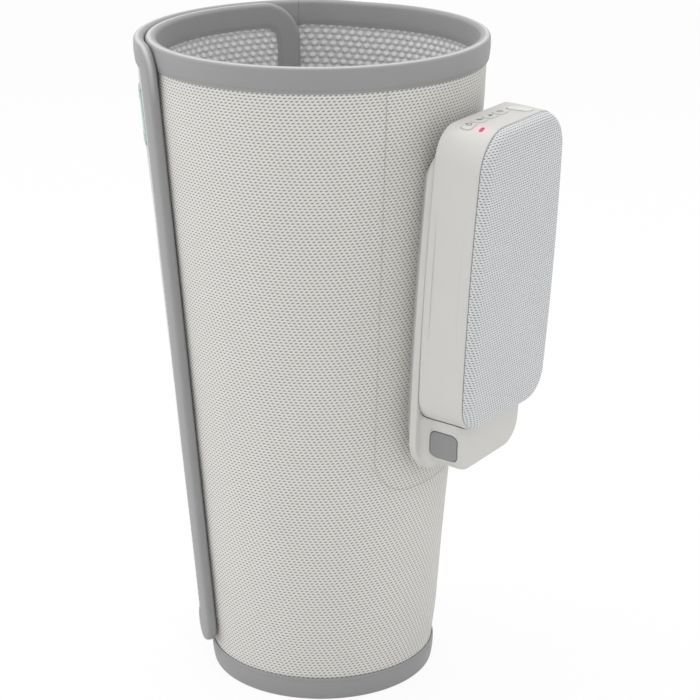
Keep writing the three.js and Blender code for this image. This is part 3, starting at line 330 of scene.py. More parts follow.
def tapeFinish(name, colour):
    # smooth woven tape: fine ribs across it, and a painted highlight along the top of its fold on the upper
    # rim, where light from above falls
    made = Finish(name, colour, 0.6, {"Sheen Weight": 0.15, "Sheen Roughness": 0.4})
    along, across, _ = parts(made.cloth)
    weave = wave(along, tapeWeave["rib"]) * 0.5 + wave(across, tapeWeave["thread"]) * 0.3
    fibre = grainOf(made.cloth, tapeWeave["fibreScale"])
    drift = grainOf(made.cloth, tapeWeave["driftScale"])
    light = 0.94 + fibre * 0.05 + drift * 0.07 + weave * 0.015
    # painted highlight: the fold's top is painted paler near the upper rim, standing in for light from above
    highlightBand = 1 - fade(absolute(across / mm - rimHighlight["across"]), rimHighlight["bright"], rimHighlight["reach"])
    rim = fade(parts(made.body)[2] / mm, *rimHighlight["rim"])
    highlighted = tint(highlightBand * rim * rimHighlight["strength"], colour, rimHighlight["colour"])
    made.feed("Base Color", tint(reckon(light, "MINIMUM", 1.0), (0, 0, 0, 1), highlighted))
    made.relief(weave + fibre * 0.6, tapeWeave["depth"], 0.5)
    return made.material


def threadFinish(name, colour, twistPitch=0.5):
    made = Finish(name, colour, 0.6, {"Sheen Weight": 0.2})
    x, y, z = parts(made.body)
    twist = wave(x + y + z, twistPitch)
    made.feed("Base Color", made.shaded(twist * 0.1 + 0.9))
    made.relief(twist, 0.05, 0.5)
    return made.material


def pileFinish(name, colour, scale, depth):
    # the nap of the loop strip and the hooks of the hook strip
    made = Finish(name, colour, 0.95, {"Sheen Weight": 0.35, "Sheen Roughness": 0.5})
    cells = cellsOf(made.cloth, scale)
    fibre = grainOf(made.cloth, 2.2 * scale, 3.0)
    made.feed("Base Color", made.shaded(0.72 + fibre * 0.3 - cells * 0.25))
    made.relief(fibre - cells, depth, 0.9)
    return made.material


def ribbonFinish(name, colour, ribPitch=1.15, threadPitch=0.5, depth=0.22):
    # the grosgrain tab: ribs across its length
    made = Finish(name, colour, 0.75, {"Sheen Weight": 0.25})
    along, up, _ = parts(made.cloth)
    rib = wave(up, ribPitch)
    fibre = grainOf(made.cloth, 1200.0)
    made.feed("Base Color", made.shaded(0.86 + rib * 0.09 + fibre * 0.1))
    made.relief(rib + wave(along, threadPitch) * 0.2 + fibre * 0.3, depth, 0.7)
    return made.material


# A pink glow painted into the housing's colour round the indicator, where its light shines through the
# housing
paintedGlow = {"at": (-24.9, 7.7, 71.0), "reach": (1.2, 6.0), "strength": 0.75, "colour": linear(246, 186, 196)}


def skinFinish(name, colour, roughness, fine, broad, light, rough, relief, constants=None, lit=False):
    # plastic, rubber or metal: a fine grain, and a slow drift of light and roughness where hands rub it
    made = Finish(name, colour, roughness, constants)
    small, large = grainOf(made.body, *fine), grainOf(made.body, *broad)
    ground = made.shaded(light[0] + large * light[1] + small * light[2])
    # painted glow: the housing is tinted pink near the indicator, standing in for its light shining through
    if lit:
        values = {0: made.body, 1: tuple(unitMatrix @ Vector(paintedGlow["at"]))}
        away = made.body.node("ShaderNodeVectorMath", {"operation": "DISTANCE"}, values, out=1)
        near = 1 - fade(away / mm, *paintedGlow["reach"])
        ground = tint(near * near * paintedGlow["strength"], ground, paintedGlow["colour"])
    made.feed("Base Color", ground)
    made.feed("Roughness", roughness + rough[0] + large * rough[1] + small * rough[2])
    made.relief(small, *relief)
    return made.material


# Each skin's grains as scale and detail, and its shares of plain, broad and fine
moulded = {
    "fine": (2600.0, 3.0), "broad": (34.0, 3.0), "light": (0.955, 0.05, 0.04),
    "rough": (-0.06, 0.14, 0.0), "relief": (0.035, 0.6),
}
rubbery = {
    "roughness": 0.7, "fine": (1500.0, 3.0), "broad": (80.0, 2.0), "light": (0.84, 0.2, 0.06),
    "rough": (-0.1, 0.2, 0.0), "relief": (0.05, 0.6),
}
metal = {
    "roughness": 0.3, "constants": {"Metallic": 1.0}, "fine": (900.0, 4.0), "broad": (120.0, 2.0),
    "light": (0.86, 0.2, 0.0), "rough": (-0.08, 0.0, 0.22), "relief": (0.03, 0.5),
}


def filmFinish(name, colour):
    # welded film: soft creases and a little shine
    made = Finish(name, colour, 0.35, {"Coat Weight": 0.3, "Coat Roughness": 0.2})
    crease = cellsOf(made.cloth, 60.0, "DISTANCE_TO_EDGE")
    drift = grainOf(made.body, 90.0, 4.0)
    made.feed("Base Color", made.shaded(0.88 + drift * 0.16))
    made.relief(fade(crease, 0.0, 0.12) + drift * 0.6, 0.3, 0.5)
    return made.material


def foamFinish(name, colour):
    made = Finish(name, colour, 0.95)
    cells = cellsOf(made.body, 1300.0)
    made.feed("Base Color", made.shaded(0.8 + cells * 0.25))
    made.relief(cells, 0.25, 0.8)
    return made.material


def boardFinish(name, colour, track, pad):
    # solder mask with copper tracks below it and pads of tin
    made = Finish(name, colour, 0.4, {"Coat Weight": 0.4, "Coat Roughness": 0.2})
    tracks = 1 - fade(cellsOf(made.body, 120.0, "DISTANCE_TO_EDGE"), 0.03, 0.06)
    pads = 1 - fade(cellsOf(made.body, 240.0, distance="CHEBYCHEV"), 0.12, 0.16)
    made.feed("Base Color", tint(pads, tint(tracks * 0.5, colour, linear(*track)), linear(*pad)))
    made.feed("Metallic", pads * 0.8)
    made.relief(tracks * 0.5 + pads, 0.08, 0.6)
    return made.material


def lightFinish(name, colour, glow):
    # the window of the indicator: dark red plastic, lit a little from behind
    made = Finish(name, colour, 0.25, {"Emission Strength": 0.3, "Coat Weight": 0.3})
    spread = grainOf(made.body, 1600.0)
    made.feed("Emission Color", tint(spread, linear(*glow), colour))
    made.feed("Base Color", made.shaded(0.8 + spread * 0.2))
    return made.material


recipes = {
    "wallCloth": (knitFinish, (217, 215, 211), {"knit": wallKnit, "seamed": True}),
    "flapCloth": (knitFinish, (217, 215, 211), {"knit": wallKnit}),
    "frontCloth": (knitFinish, (212, 213, 214), {"knit": frontKnit}),
    # the lining's darker colour is painted shade for the hollows between its bumps
    "lining": (spacerFinish, (236, 236, 236), {"dark": linear(200, 200, 201)}),
    "tape": (tapeFinish, (147, 147, 148), {}),
    "thread": (threadFinish, (143, 143, 144), {}),
    "seamThread": (threadFinish, (176, 175, 175), {}),
    "tabThread": (threadFinish, (164, 200, 192), {}),
    "loopPile": (pileFinish, (178, 178, 178), {"scale": 520.0, "depth": 0.5}),
    "hookPlastic": (pileFinish, (92, 93, 95), {"scale": 700.0, "depth": 0.6}),
    "tab": (ribbonFinish, (192, 222, 215), {}),
    # the housing carries a painted glow round the indicator
    "housing": (skinFinish, (203, 202, 199), {**moulded, "roughness": 0.5, "lit": True}),
    "dock": (skinFinish, (202, 201, 198), {**moulded, "roughness": 0.52}),
    "button": (skinFinish, (200, 199, 196), {**moulded, "roughness": 0.46}),
    "cover": (skinFinish, (216, 215, 213), {**moulded, "roughness": 0.42}),
    "grip": (skinFinish, (140, 140, 141), {**moulded, "roughness": 0.62, "relief": (0.06, 0.6)}),
    "ink": (skinFinish, (128, 128, 130), {**moulded, "roughness": 0.6, "relief": (0.01, 0.6)}),
    "frame": (skinFinish, (120, 121, 123), {**moulded, "roughness": 0.55}),
    "strap": (skinFinish, (188, 188, 186), {**moulded, "roughness": 0.55}),
    "valve": (skinFinish, (226, 224, 216), {**moulded, "roughness": 0.4}),
    "dark": (skinFinish, (54, 55, 58), {**moulded, "roughness": 0.5}),
    "film": (filmFinish, (176, 178, 184), {}),
    "battery": (filmFinish, (58, 92, 140), {}),
    "foam": (foamFinish, (190, 190, 188), {}),
    "board": (boardFinish, (28, 92, 60), {"track": (66, 138, 92), "pad": (196, 194, 186)}),
    "steel": (skinFinish, (186, 188, 191), metal),
    "rubber": (skinFinish, (60, 61, 64), rubbery),
    "hose": (skinFinish, (150, 151, 152), rubbery),
    "light": (lightFinish, (138, 26, 46), {"glow": (196, 44, 74)}),
}
finishes = {}
for name, (make, colour, settings) in recipes.items():
    finishes[name] = make(name, linear(*colour), **settings)
print("finishes made:", len(finishes))


# Meshes
def meshPiece(name, points, edges, faces):
    mesh = bpy.data.meshes.new(name)
    mesh.from_pydata([tuple(point) for point in points], edges, faces)
    piece = bpy.data.objects.new(name, mesh)
    scene.collection.objects.link(piece)
    return piece


def makeObject(name, points, faces, finish=None, uv=None):
    piece = meshPiece(name, points, [], faces)
    mesh = piece.data
    if uv:
        layer = mesh.uv_layers.new(name="cloth")
        for loop in mesh.loops:
            layer.data[loop.index].uv = uv[loop.vertex_index]
    if finish:
        mesh.materials.append(finishes[finish])
    work = bmesh.new()
    work.from_mesh(mesh)
    bmesh.ops.recalc_face_normals(work, faces=work.faces)
    work.to_mesh(mesh)
    work.free()
    return piece


def shadeSmooth(piece, limit):
    # smooth but for the edges that turn by more than the limit, in degrees
    work = bmesh.new()
    work.from_mesh(piece.data)
    for face in work.faces:
        face.smooth = True
    for edge in work.edges:
        edge.smooth = len(edge.link_faces) == 2 and edge.calc_face_angle(0) < math.radians(limit)
    work.to_mesh(piece.data)
    work.free()
    return piece


def loftFaces(rings):
    count = len(rings[0])
    faces = []
    for here in range(0, (len(rings) - 1) * count, count):
        for side in range(count):
            after = (side + 1) % count
            faces.append((here + side, here + after, here + count + after, here + count + side))
    last = (len(rings) - 1) * count
    return [*faces, tuple(range(count - 1, -1, -1)), tuple(range(last, last + count))]


def loft(name, rings, finish=None, uv=None):
    return makeObject(name, [point for ring in rings for point in ring], loftFaces(rings), finish, uv)


def applied(piece):
    # the evaluated piece as a plain mesh, its modifiers gone
    bpy.context.view_layer.update()
    graph = bpy.context.evaluated_depsgraph_get()
    mesh = bpy.data.meshes.new_from_object(piece.evaluated_get(graph))
    old = piece.data
    piece.modifiers.clear()
    piece.data = mesh
    bpy.data.meshes.remove(old)
    return piece


def carve(piece, tools, operation="DIFFERENCE"):
    for tool in tools:
        change = piece.modifiers.new("cut", "BOOLEAN")
        change.operation = operation
        change.solver = "MANIFOLD"
        change.object = tool
    applied(piece)
    for tool in tools:
        bpy.data.objects.remove(tool)
    return piece


def bevelled(piece, width):
    rounder = piece.modifiers.new("bevel", "BEVEL")
    rounder.width = width
    rounder.segments = 2
    rounder.limit_method = "ANGLE"
    rounder.angle_limit = math.radians(40)
    return applied(piece)


# Layers of the wrap: a spiral sheet with its rounded corners, as one closed body
plainSheet = {
    "startCorner": 0, "endCorner": 0, "rise": flatFoot, "step": 1.6, "rows": 78, "cornerSteps": 9,
    "leastStep": 0.4, "middleTurn": cone["unitTurn"],
}


def cornerPull(radius, distance):
    left = max(radius - distance, 0.0)
    return radius - math.sqrt(max(radius * radius - left * left, 0.0))


def sheetColumns(sheet):
    # the turns of the sheet's columns, closer together in its corners
    start, end, rise = sheet["from"], sheet["to"], sheet["rise"]
    turns = {start, end}
    for radius, sense, at in ((sheet["startCorner"], 1, start), (sheet["endCorner"], -1, end)):
        for cos, _ in quarterTurn(sheet["cornerSteps"], 1):
            turns.add(at + sense * turnOf(radius * (1 - cos), sheet["low"] + rise(at)))
    count = max(int((end - start) / sheet["step"]), 2)
    for step in range(1, count):
        turn = start + (end - start) * step / count
        if min(abs(turn - other) for other in turns) > sheet["leastStep"]:
            turns.add(turn)
    return sorted(turns)


def sheetPiece(name, finish, shape):
    sheet = {**plainSheet, **shape}
    start, end, rows = sheet["from"], sheet["to"], sheet["rows"]

    def pull(turn, height):
        # how far the round corners draw the edge in
        near = cornerPull(sheet["startCorner"], lengthOf(turn - start, height))
        return near + cornerPull(sheet["endCorner"], lengthOf(end - turn, height))

    def valueOf(key, turn, height, edge):
        return sheet[key](turn, height, edge) if callable(sheet[key]) else sheet[key]

    outer, inner, uv = [], [], []
    columns = sheetColumns(sheet)
    for turn in columns:
        foot = sheet["low"] + sheet["rise"](turn)
        low, high = foot + pull(turn, foot), sheet["high"] - pull(turn, sheet["high"])
        for row in range(rows + 1):
            height = low + (high - low) * row / rows
            edge = min(lengthOf(min(turn - start, end - turn), height), height - low, high - height)
            depth = valueOf("depth", turn, height, edge)
            outer.append(skin(turn, height, depth))
            inner.append(skin(turn, height, depth + valueOf("thickness", turn, height, edge)))
            uv.append((lengthOf(turn - sheet["middleTurn"], height) * mm, height * mm))
    size, total = rows + 1, len(outer)
    faces = []
    for first in range(0, total - size, size):
        for a in range(first, first + rows):
            b = a + size
            faces.append((a, b, b + 1, a + 1))
            faces.append((total + a, total + a + 1, total + b + 1, total + b))
    border = [*range(0, total, size), *range(total - rows, total)]
    border += [*range(total - 1 - size, 0, -size), *range(rows - 1, 0, -1)]
    faces += [(a, b, total + b, total + a) for a, b in zip(border, border[1:] + border[:1])]
    return shadeSmooth(makeObject(name, outer + inner, faces, finish, uv + uv), 50)


def ripple(turn, height, seed):
    broad = noise.noise(Vector((turn / 16, height / 38, seed)))
    return broad + 0.4 * noise.noise(Vector((turn / 6, height / 15, seed + 5)))


layers = {
    "cloth": 0.7, "puff": 0.6, "ripple": 0.28, "swell": (9, 34), "film": 1.2, "filmDepth": 0.95,
    "weldShare": 0.45, "weld": (1.0, 7.0), "weldInset": 18, "weldCorner": 9,
}


def clothPuff(seed):
    # the cloth swells away from its bound edges
    def depth(turn, height, edge):
        full = layers["puff"] + layers["ripple"] * ripple(turn, height, seed)
        return -max(smoothStep(edge, *layers["swell"]) * full, 0.0)

    return depth


def chamberWall(turn, height, edge):
    # the welded border is thin, and the chamber between two welds is full
    share = layers["weldShare"]
    return layers["film"] * (share + (1 - share) * smoothStep(edge, *layers["weld"]))


def chamberDepth(turn, height, edge):
    return layers["filmDepth"] + (layers["film"] - chamberWall(turn, height, edge)) / 2


wallSheet = {
    "from": cone["innerEnd"] + turnOf(cone["sheetInset"], 0), "to": cone["root"] - cone["rootGap"],
    "low": cone["sheetInset"], "high": cone["height"] - cone["sheetInset"],
    "startCorner": cone["innerCorner"] - cone["sheetInset"],
}
flapSheet = {
    **wallSheet,
    "from": cone["root"] + cone["rootGap"],
    "to": cone["freeEnd"] - turnOf(cone["sheetInset"], 0),
    "startCorner": 0,
    "endCorner": cone["flapCorner"] - cone["sheetInset"],
    "rise": flapFoot,
    "middleTurn": 454.0,
}
lining = {"depth": 2.4, "thickness": 0.8, "rows": 40}
padding = {"depth": chamberDepth, "thickness": chamberWall, "step": 3}
bladderSpans = {"lower": (14.0, 166.0), "middle": (170.0, 232.0), "upper": (236.0, 306.0)}

wallFace = {"depth": clothPuff(1.0), "thickness": layers["cloth"]}
wallCloth = sheetPiece("wallCloth", "wallCloth", {**wallSheet, **wallFace})
wallLining = sheetPiece("wallLining", "lining", {**wallSheet, **lining})
flapFace = {"depth": clothPuff(7.0), "thickness": layers["cloth"]}
flapCloth = sheetPiece("flapCloth", "flapCloth", {**flapSheet, **flapFace})
flapPadding = sheetPiece("flapPadding", "foam", {**flapSheet, **padding, "rows": 50})
flapLining = sheetPiece("flapLining", "lining", {**flapSheet, **lining})
bladders = {}
for part, (low, high) in bladderSpans.items():
    chamber = {
        **padding,
        "from": cone["innerEnd"] + turnOf(layers["weldInset"], low),
        "to": cone["root"] + cone["rampStart"] - cone["rampEnd"] - turnOf(layers["weldInset"], low),
        "low": low,
        "high": high,
        "startCorner": layers["weldCorner"],
        "endCorner": layers["weldCorner"],
        "rows": 40,
    }
    bladders[part] = sheetPiece(f"airChamber_{part}", "film", chamber)
print("cloth layers made")

# Binding tape: a rounded section swept along the edges, drawn in where it is stitched
tape = {
    "leg": 12.0, "proud": 0.85, "puff": 0.35, "shoulder": 1.7, "roof": 1.4, "gap": 0.25,
    "tuck": (0.25, 0.2), "stitchLine": 10.4, "stitchDip": (0.08, 0.15), "dipWidth": (0.7, 0.8),
    "stitchFaces": (-0.99, 4.06),
    "legSteps": (12, 8), "shoulderSteps": 6, "step": 1.8, "cornerSteps": 14, "endSteps": 30,
}


def tapeSection():
    # points as the way in from the edge and the depth: down the outer leg, round the edge, up the inner leg
    leg, shoulder, roof, gap = (tape[key] for key in ("leg", "shoulder", "roof", "gap"))
    outside, inside = -tape["proud"], cone["thickness"] + tape["proud"]

    def dip(inward, face):
        away = (inward - tape["stitchLine"]) / tape["dipWidth"][face]
        return tape["stitchDip"][face] * math.exp(-(away**2))

    points = []
    outerSteps, innerSteps = tape["legSteps"]
    for step in range(outerSteps + 1):
        share = step / outerSteps
        inward = leg + (shoulder - leg) * share
        swell = tape["puff"] * math.sin(math.pi * share) ** 0.8
        points.append((inward, outside - swell + dip(inward, 0) + (0 if step else tape["tuck"][0])))
    for cos, sin in quarterTurn(tape["shoulderSteps"], 1):
        points.append((shoulder * (1 - sin), outside + shoulder * (1 - cos)))
    for cos, sin in quarterTurn(tape["shoulderSteps"]):
        points.append((shoulder * (1 - cos), inside - shoulder * (1 - sin)))
    for step in range(1, innerSteps + 1):
        inward = shoulder + (leg - shoulder) * step / innerSteps
        points.append((inward, inside - dip(inward, 1) - (tape["tuck"][1] if step == innerSteps else 0)))
    near = cone["thickness"] + gap
    return [*points, (leg, near), (roof, near), (roof, -gap), (leg, -gap)]


def edgeStations(end, sense, root, radius, rise=flatFoot):
    # turn, height and inward way along the top, round a corner, down the end, and back along the foot
    def between(height):
        first = end + sense * turnOf(radius, height)
        count = int(abs(root - first) / tape["step"])
        return [root + (first - root) * step / count for step in range(count)]

    def corner(edge, up):
        for cos, sin in quarterTurn(tape["cornerSteps"]):
            height = edge + up * radius * (1 - cos)
            yield end + sense * turnOf(radius * (1 - sin), height), height, sense * sin, up * cos

    top, foot = cone["height"], rise(end)
    high, low = top - radius, foot + radius
    stations = [(turn, top, 0.0, -1.0) for turn in between(top)]
    stations += corner(top, -1)
    for step in range(1, tape["endSteps"]):
        stations.append((end, high + (low - high) * step / tape["endSteps"], float(sense), 0.0))
    stations += reversed(list(corner(foot, 1)))
    return stations + [(turn, rise(turn), 0.0, 1.0) for turn in reversed(between(foot))]


def atEdge(station, inward, depth):
    turn, height, across, up = station
    there = height + inward * up
    return skin(turn + turnOf(inward * across, there), there, depth)


def tapePiece(name, stations):
    section = tapeSection()
    around = [0.0]
    for here, there in zip(section, section[1:]):
        around.append(around[-1] + math.dist(here, there) * mm)
    rings, uv = [], []
    along, before = 0.0, None
    for station in stations:
        rings.append([atEdge(station, inward, depth) for inward, depth in section])
        middle = atEdge(station, 0.0, cone["thickness"] / 2)
        along += (middle - before).length if before else 0.0
        before = middle
        uv += [(along, across) for across in around]
    return shadeSmooth(loft(name, rings, "tape", uv), 40)


wallEdge = edgeStations(cone["innerEnd"], 1, cone["root"] - cone["rootGap"], cone["innerCorner"])
flapEdge = edgeStations(cone["freeEnd"], -1, cone["root"] + cone["rootGap"], cone["flapCorner"], flapFoot)
wallTape = tapePiece("wallTape", wallEdge)
flapTape = tapePiece("flapTape", flapEdge)

# Hook and loop strips, and the ribbon tab: each ends at a turn and is so many millimetres long round the cone
strip = {"low": 26, "high": 294, "hem": 2}
loop = {"to": cone["freeEnd"] - 360 - turnOf(2, 0), "length": 64, "face": -0.85, "edge": (0.2, 1.6)}
hook = {"to": cone["freeEnd"] - turnOf(12.3, 0), "length": 26, "face": 4.05, "thickness": 0.6, "hem": 1.6}
ribbon = {
    "low": 269.5, "high": 296.5, "level": 303, "to": cone["freeEnd"] - turnOf(20, 303),
    "length": 31, "hem": 1.8, "face": -0.85, "roll": (0.25, 1.6), "slack": 0.12, "fall": 0.25,
    "stitchFace": -1.05, "stitches": (294.3, 291.7, 273.9, 271.7),
}


def loopDepth(turn, height, edge):
    # the pile is pressed down along its edges
    deep, wide = loop["edge"]
    return loop["face"] + deep * (1 - smoothStep(edge, 0.0, wide))


def tabDepth(turn, height, edge):
    # a folded ribbon: a roll along its top and foot, slack between them
    thick, wide = ribbon["roll"]
    roll = thick * math.exp(-((min(height - ribbon["low"], ribbon["high"] - height) / wide) ** 2))
    slack = ribbon["slack"] * smoothStep(edge, 2, 10)
    return ribbon["face"] - roll - slack + ribbon["fall"] * (1 - smoothStep(edge, 0.0, 0.7))


def stripPiece(name, finish, band, shape):
    start = band["to"] - turnOf(band["length"], band.get("level", 0))
    spans = {"from": start, "to": band["to"], "low": strip["low"], "high": strip["high"]}
    return sheetPiece(name, finish, {**spans, **shape})


loopShape = {"depth": loopDepth, "thickness": 0.4, "middleTurn": 118}
loopStrip = stripPiece("loopStrip", "loopPile", loop, loopShape)
hookShape = {"depth": hook["face"] - hook["thickness"], "thickness": hook["thickness"], "middleTurn": 480}
hookStrip = stripPiece("hookStrip", "hookPlastic", hook, hookShape)
tabShape = {
    "low": ribbon["low"], "high": ribbon["high"], "depth": tabDepth, "thickness": 0.5, "step": 0.6,
    "rows": 60, "middleTurn": 480,
}
tab = stripPiece("pullTab", "tab", ribbon, tabShape)


# Stitches: Geometry Nodes set one at each pitch along a path
def stitchTree():
    tree = bpy.data.node_groups.new("stitchRow", "GeometryNodeTree")
    face = tree.interface
    face.new_socket("Geometry", in_out="INPUT", socket_type="NodeSocketGeometry")
    for name in ("pitch", "length", "thickness"):
        face.new_socket(name, in_out="INPUT", socket_type="NodeSocketFloat")
    face.new_socket("thread", in_out="INPUT", socket_type="NodeSocketMaterial")
    face.new_socket("Geometry", in_out="OUTPUT", socket_type="NodeSocketGeometry")
    path = Wire(tree).node("NodeGroupInput")
    curve = path.node("GeometryNodeMeshToCurve", None, {0: path})
    spots = {"Curve": curve, "Length": path.also("pitch")}
    points = path.node("GeometryNodeCurveToPoints", {"mode": "LENGTH"}, spots)
    ball = path.node("GeometryNodeMeshUVSphere", None, {"Segments": 6, "Rings": 5, "Radius": 0.5})
    thick = path.also("thickness")
    scale = path.node("ShaderNodeCombineXYZ", None, {0: thick, 1: thick, 2: path.also("length")})
    turn = path.node("FunctionNodeAlignRotationToVector", {"axis": "Z"}, {"Vector": points.also("Tangent")})
    placed = {"Points": points, "Instance": ball, "Rotation": turn, "Scale": scale}
    row = path.node("GeometryNodeInstanceOnPoints", None, placed)
    real = path.node("GeometryNodeRealizeInstances", None, {0: row})
    painted = {"Geometry": real, "Material": path.also("thread")}
    made = path.node("GeometryNodeSetMaterial", None, painted)
    tree.links.new(made.socket, tree.nodes.new("NodeGroupOutput").inputs[0])
    return tree


stitchRow = stitchTree()


def stitched(name, paths, thread, pitch=3.2, length=2.5, thickness=0.42):
    points, edges = [], []
    for path in paths:
        first = len(points)
        points += path
        edges += [(index, index + 1) for index in range(first, len(points) - 1)]
    piece = meshPiece(name, points, edges, [])
    sizes = {"pitch": pitch * mm, "length": length * mm, "thickness": thickness * mm}
    sizes["thread"] = finishes[thread]
    modifier = piece.modifiers.new(stitchRow.name, "NODES")
    modifier.node_group = stitchRow
    for item in stitchRow.interface.items_tree:
        if item.in_out == "INPUT" and item.name in sizes:
            modifier[item.identifier] = sizes[item.name]
    applied(piece)
    for face in piece.data.polygons:
        face.use_smooth = True
    return piece


def seamPath(depth):
    # the patch seam: down the left side, round a corner, along the foot and up the right side
    corner, foot, top = seam["corner"], seam["foot"], seam["top"]
    arm = []
    for step in range(seam["sideSteps"] + 1):
        height = top - (top - foot - corner) * step / seam["sideSteps"]
        arm.append((lengthOf(seam["halfTurn"], height), height))
    for cos, sin in quarterTurn(seam["cornerSteps"], 1):
        height = foot + corner * (1 - sin)
        arm.append((lengthOf(seam["halfTurn"], height) - corner * (1 - cos), height))
    reach = arm[-1][0]
    count = seam["footSteps"]
    arm += [(reach * (1 - step / count), foot) for step in range(1, count + 1)]
    left, right = (
        [skin(cone["unitTurn"] + sense * turnOf(half, height), height, depth) for half, height in arm]
        for sense in (-1, 1)
    )
    return left + right[::-1][1:]


def alongTurns(start, end, height, depth, steps=60):
    return [skin(start + (end - start) * step / steps, height, depth) for step in range(steps + 1)]


def alongHeights(turn, low, high, depth, steps=60):
    return [skin(turn, low + (high - low) * step / steps, depth) for step in range(steps + 1)]


def hems(band, inset):
    # the turns of the two seams that hold a strip, its far one last
    level = band.get("level", 0)
    return band["to"] - turnOf(inset, level), band["to"] - turnOf(band["length"] - inset, level)


def tapeLines(stations):
    line = tape["stitchLine"]
    return [[atEdge(station, line, depth) for station in stations] for depth in tape["stitchFaces"]]


rootSeam = {"turns": (1.4, 3.0), "low": 14, "high": 306, "depth": -0.1}
rootSpan = rootSeam["low"], rootSeam["high"], rootSeam["depth"]
rootSeams = [alongHeights(cone["root"] + turn, *rootSpan) for turn in rootSeam["turns"]]
stripLow, stripHigh = strip["low"] + strip["hem"], strip["high"] - strip["hem"]
wallStitches = stitched("wallStitches", tapeLines(wallEdge), "thread", thickness=0.22)
flapStitches = stitched("flapStitches", tapeLines(flapEdge) + rootSeams, "thread", thickness=0.22)
seamStitches = stitched("seamStitches", [seamPath(-0.42)], "seamThread", 2.9, 2.1, 0.18)
near, far = hems(loop, strip["hem"])
loopPaths = [alongHeights(turn, stripLow, stripHigh, loop["face"]) for turn in (near, far)]
loopPaths += [alongTurns(far, near, height, loop["face"]) for height in (stripLow, stripHigh)]
loopStitches = stitched("loopStitches", loopPaths, "thread", 3.0, thickness=0.3)
hookPaths = [alongHeights(turn, stripLow, stripHigh, hook["face"]) for turn in hems(hook, hook["hem"])]
hookStitches = stitched("hookStitches", hookPaths, "thread", 3.0, thickness=0.3)
near, far = hems(ribbon, ribbon["hem"])
tabPaths = [alongTurns(far, near, height, ribbon["stitchFace"], 20) for height in ribbon["stitches"]]
tabStitches = stitched("tabStitches", tabPaths, "tabThread", 2.2, 1.7, 0.3)
print("tape, strips and stitches made")

# The pump unit and its dock, in the unit's own frame
outlines = {
    "unit": {"halfWidth": 38.6, "top": 72.0, "bottom": 72.0, "topCorners": (20.0, 14.5), "footCorner": 16.0},
    "dock": {"halfWidth": 37.7, "top": 57.5, "bottom": 95.5, "topCorners": (13.0, 13.0), "footCorner": 15.0},
    "foot": {"halfWidth": 31.0, "top": 55.0, "bottom": 95.5, "topCorners": (15.0, 15.0), "footCorner": 13.0},
}
housing = {
    "bow": 1.5, "rim": 0.8, "chamfer": 0.5, "lip": 0.12, "depth": 24.0, "wall": 2.2, "fillet": 1.4,
    "tighten": (1.0, 19.0), "backFall": 1.3, "arcSteps": 14, "sideSteps": 12, "grooveFoot": -70.9,
    "grooveTop": 38.0, "bevel": 0.22, "rearBlock": 0.25, "nozzleSpan": (-90, -60), "seatSpan": (-1.5, 6),
    "latchSlot": (30, -75),
}
screws = {"side": 25.5, "rise": 52.0, "hole": 1.5, "head": 2.9, "headDeep": 1.1, "reach": (15.0, 40.0)}
grip = {"rise": -7.0, "length": 112.0, "width": 14.5, "back": 12.75, "corner": 4.5, "deep": 0.5}
nozzles = {"sides": (-9, 0, 9), "back": 13.5, "housingHole": 3.5, "plateHole": 2.1}
latch = {
    "side": 23.0, "thickness": 1.6, "width": 6.0, "rise": 21.8, "foot": 86.5, "nose": (2.5, 2.0),
    "slot": (5.6, 6.6),
}
rail = {"width": 22.0, "height": 1.7, "undercut": 1.6, "gap": 0.4, "cut": 2.1, "low": -58.0, "high": 38.0}
caps = {
    "button": {"size": (7.8, 5.8), "round": 2.4, "gap": 0.16, "rise": (-3.4, 0.5), "dome": 0.15, "rim": 0.45},
    "light": {"size": (3.0, 1.2), "round": 0.65, "gap": 0.25, "rise": (-3.4, 0.1), "dome": 0.05, "rim": 0.15},
    "port": {"size": (5.6, 12.6), "round": 2.8, "gap": 0.3, "rise": (-1.2, 0.5), "dome": 0.1, "rim": 0.4},
}
capRings = {"step": 0.35, "middle": 0.5, "leastRound": 0.3}  # the rings of a cap, from its rim inwards
socket = {"size": (4.6, 10.4), "round": 2.3, "gap": 0.0}
buttonSides = {"power_button": -24.2, "mode_button": -14.8, "level_button": -5.4, "time_button": 4.0}
buttonBack = 14.7
lightAt = (-24.9, 7.7)
portAt = (14.6, 10.2)
past = 60.0  # how far out the cutting tools reach


def settle(piece):
    piece.data.transform(unitMatrix)
    piece.data.update()
    return piece


def cornerAt(sizes, depth):
    # the corners of the housing's top tighten towards its back
    front, back = sizes["topCorners"]
    return front + smoothStep(depth, *housing["tighten"]) * (back - front)


def fallAt(depth):
    # the housing's top falls a little towards its back
    return housing["backFall"] * smoothStep(depth, 0.0, housing["depth"])


def bowAt(share):
    # how far a side bows out at a share of its length
    return 4 * share * (1 - share) * housing["bow"]


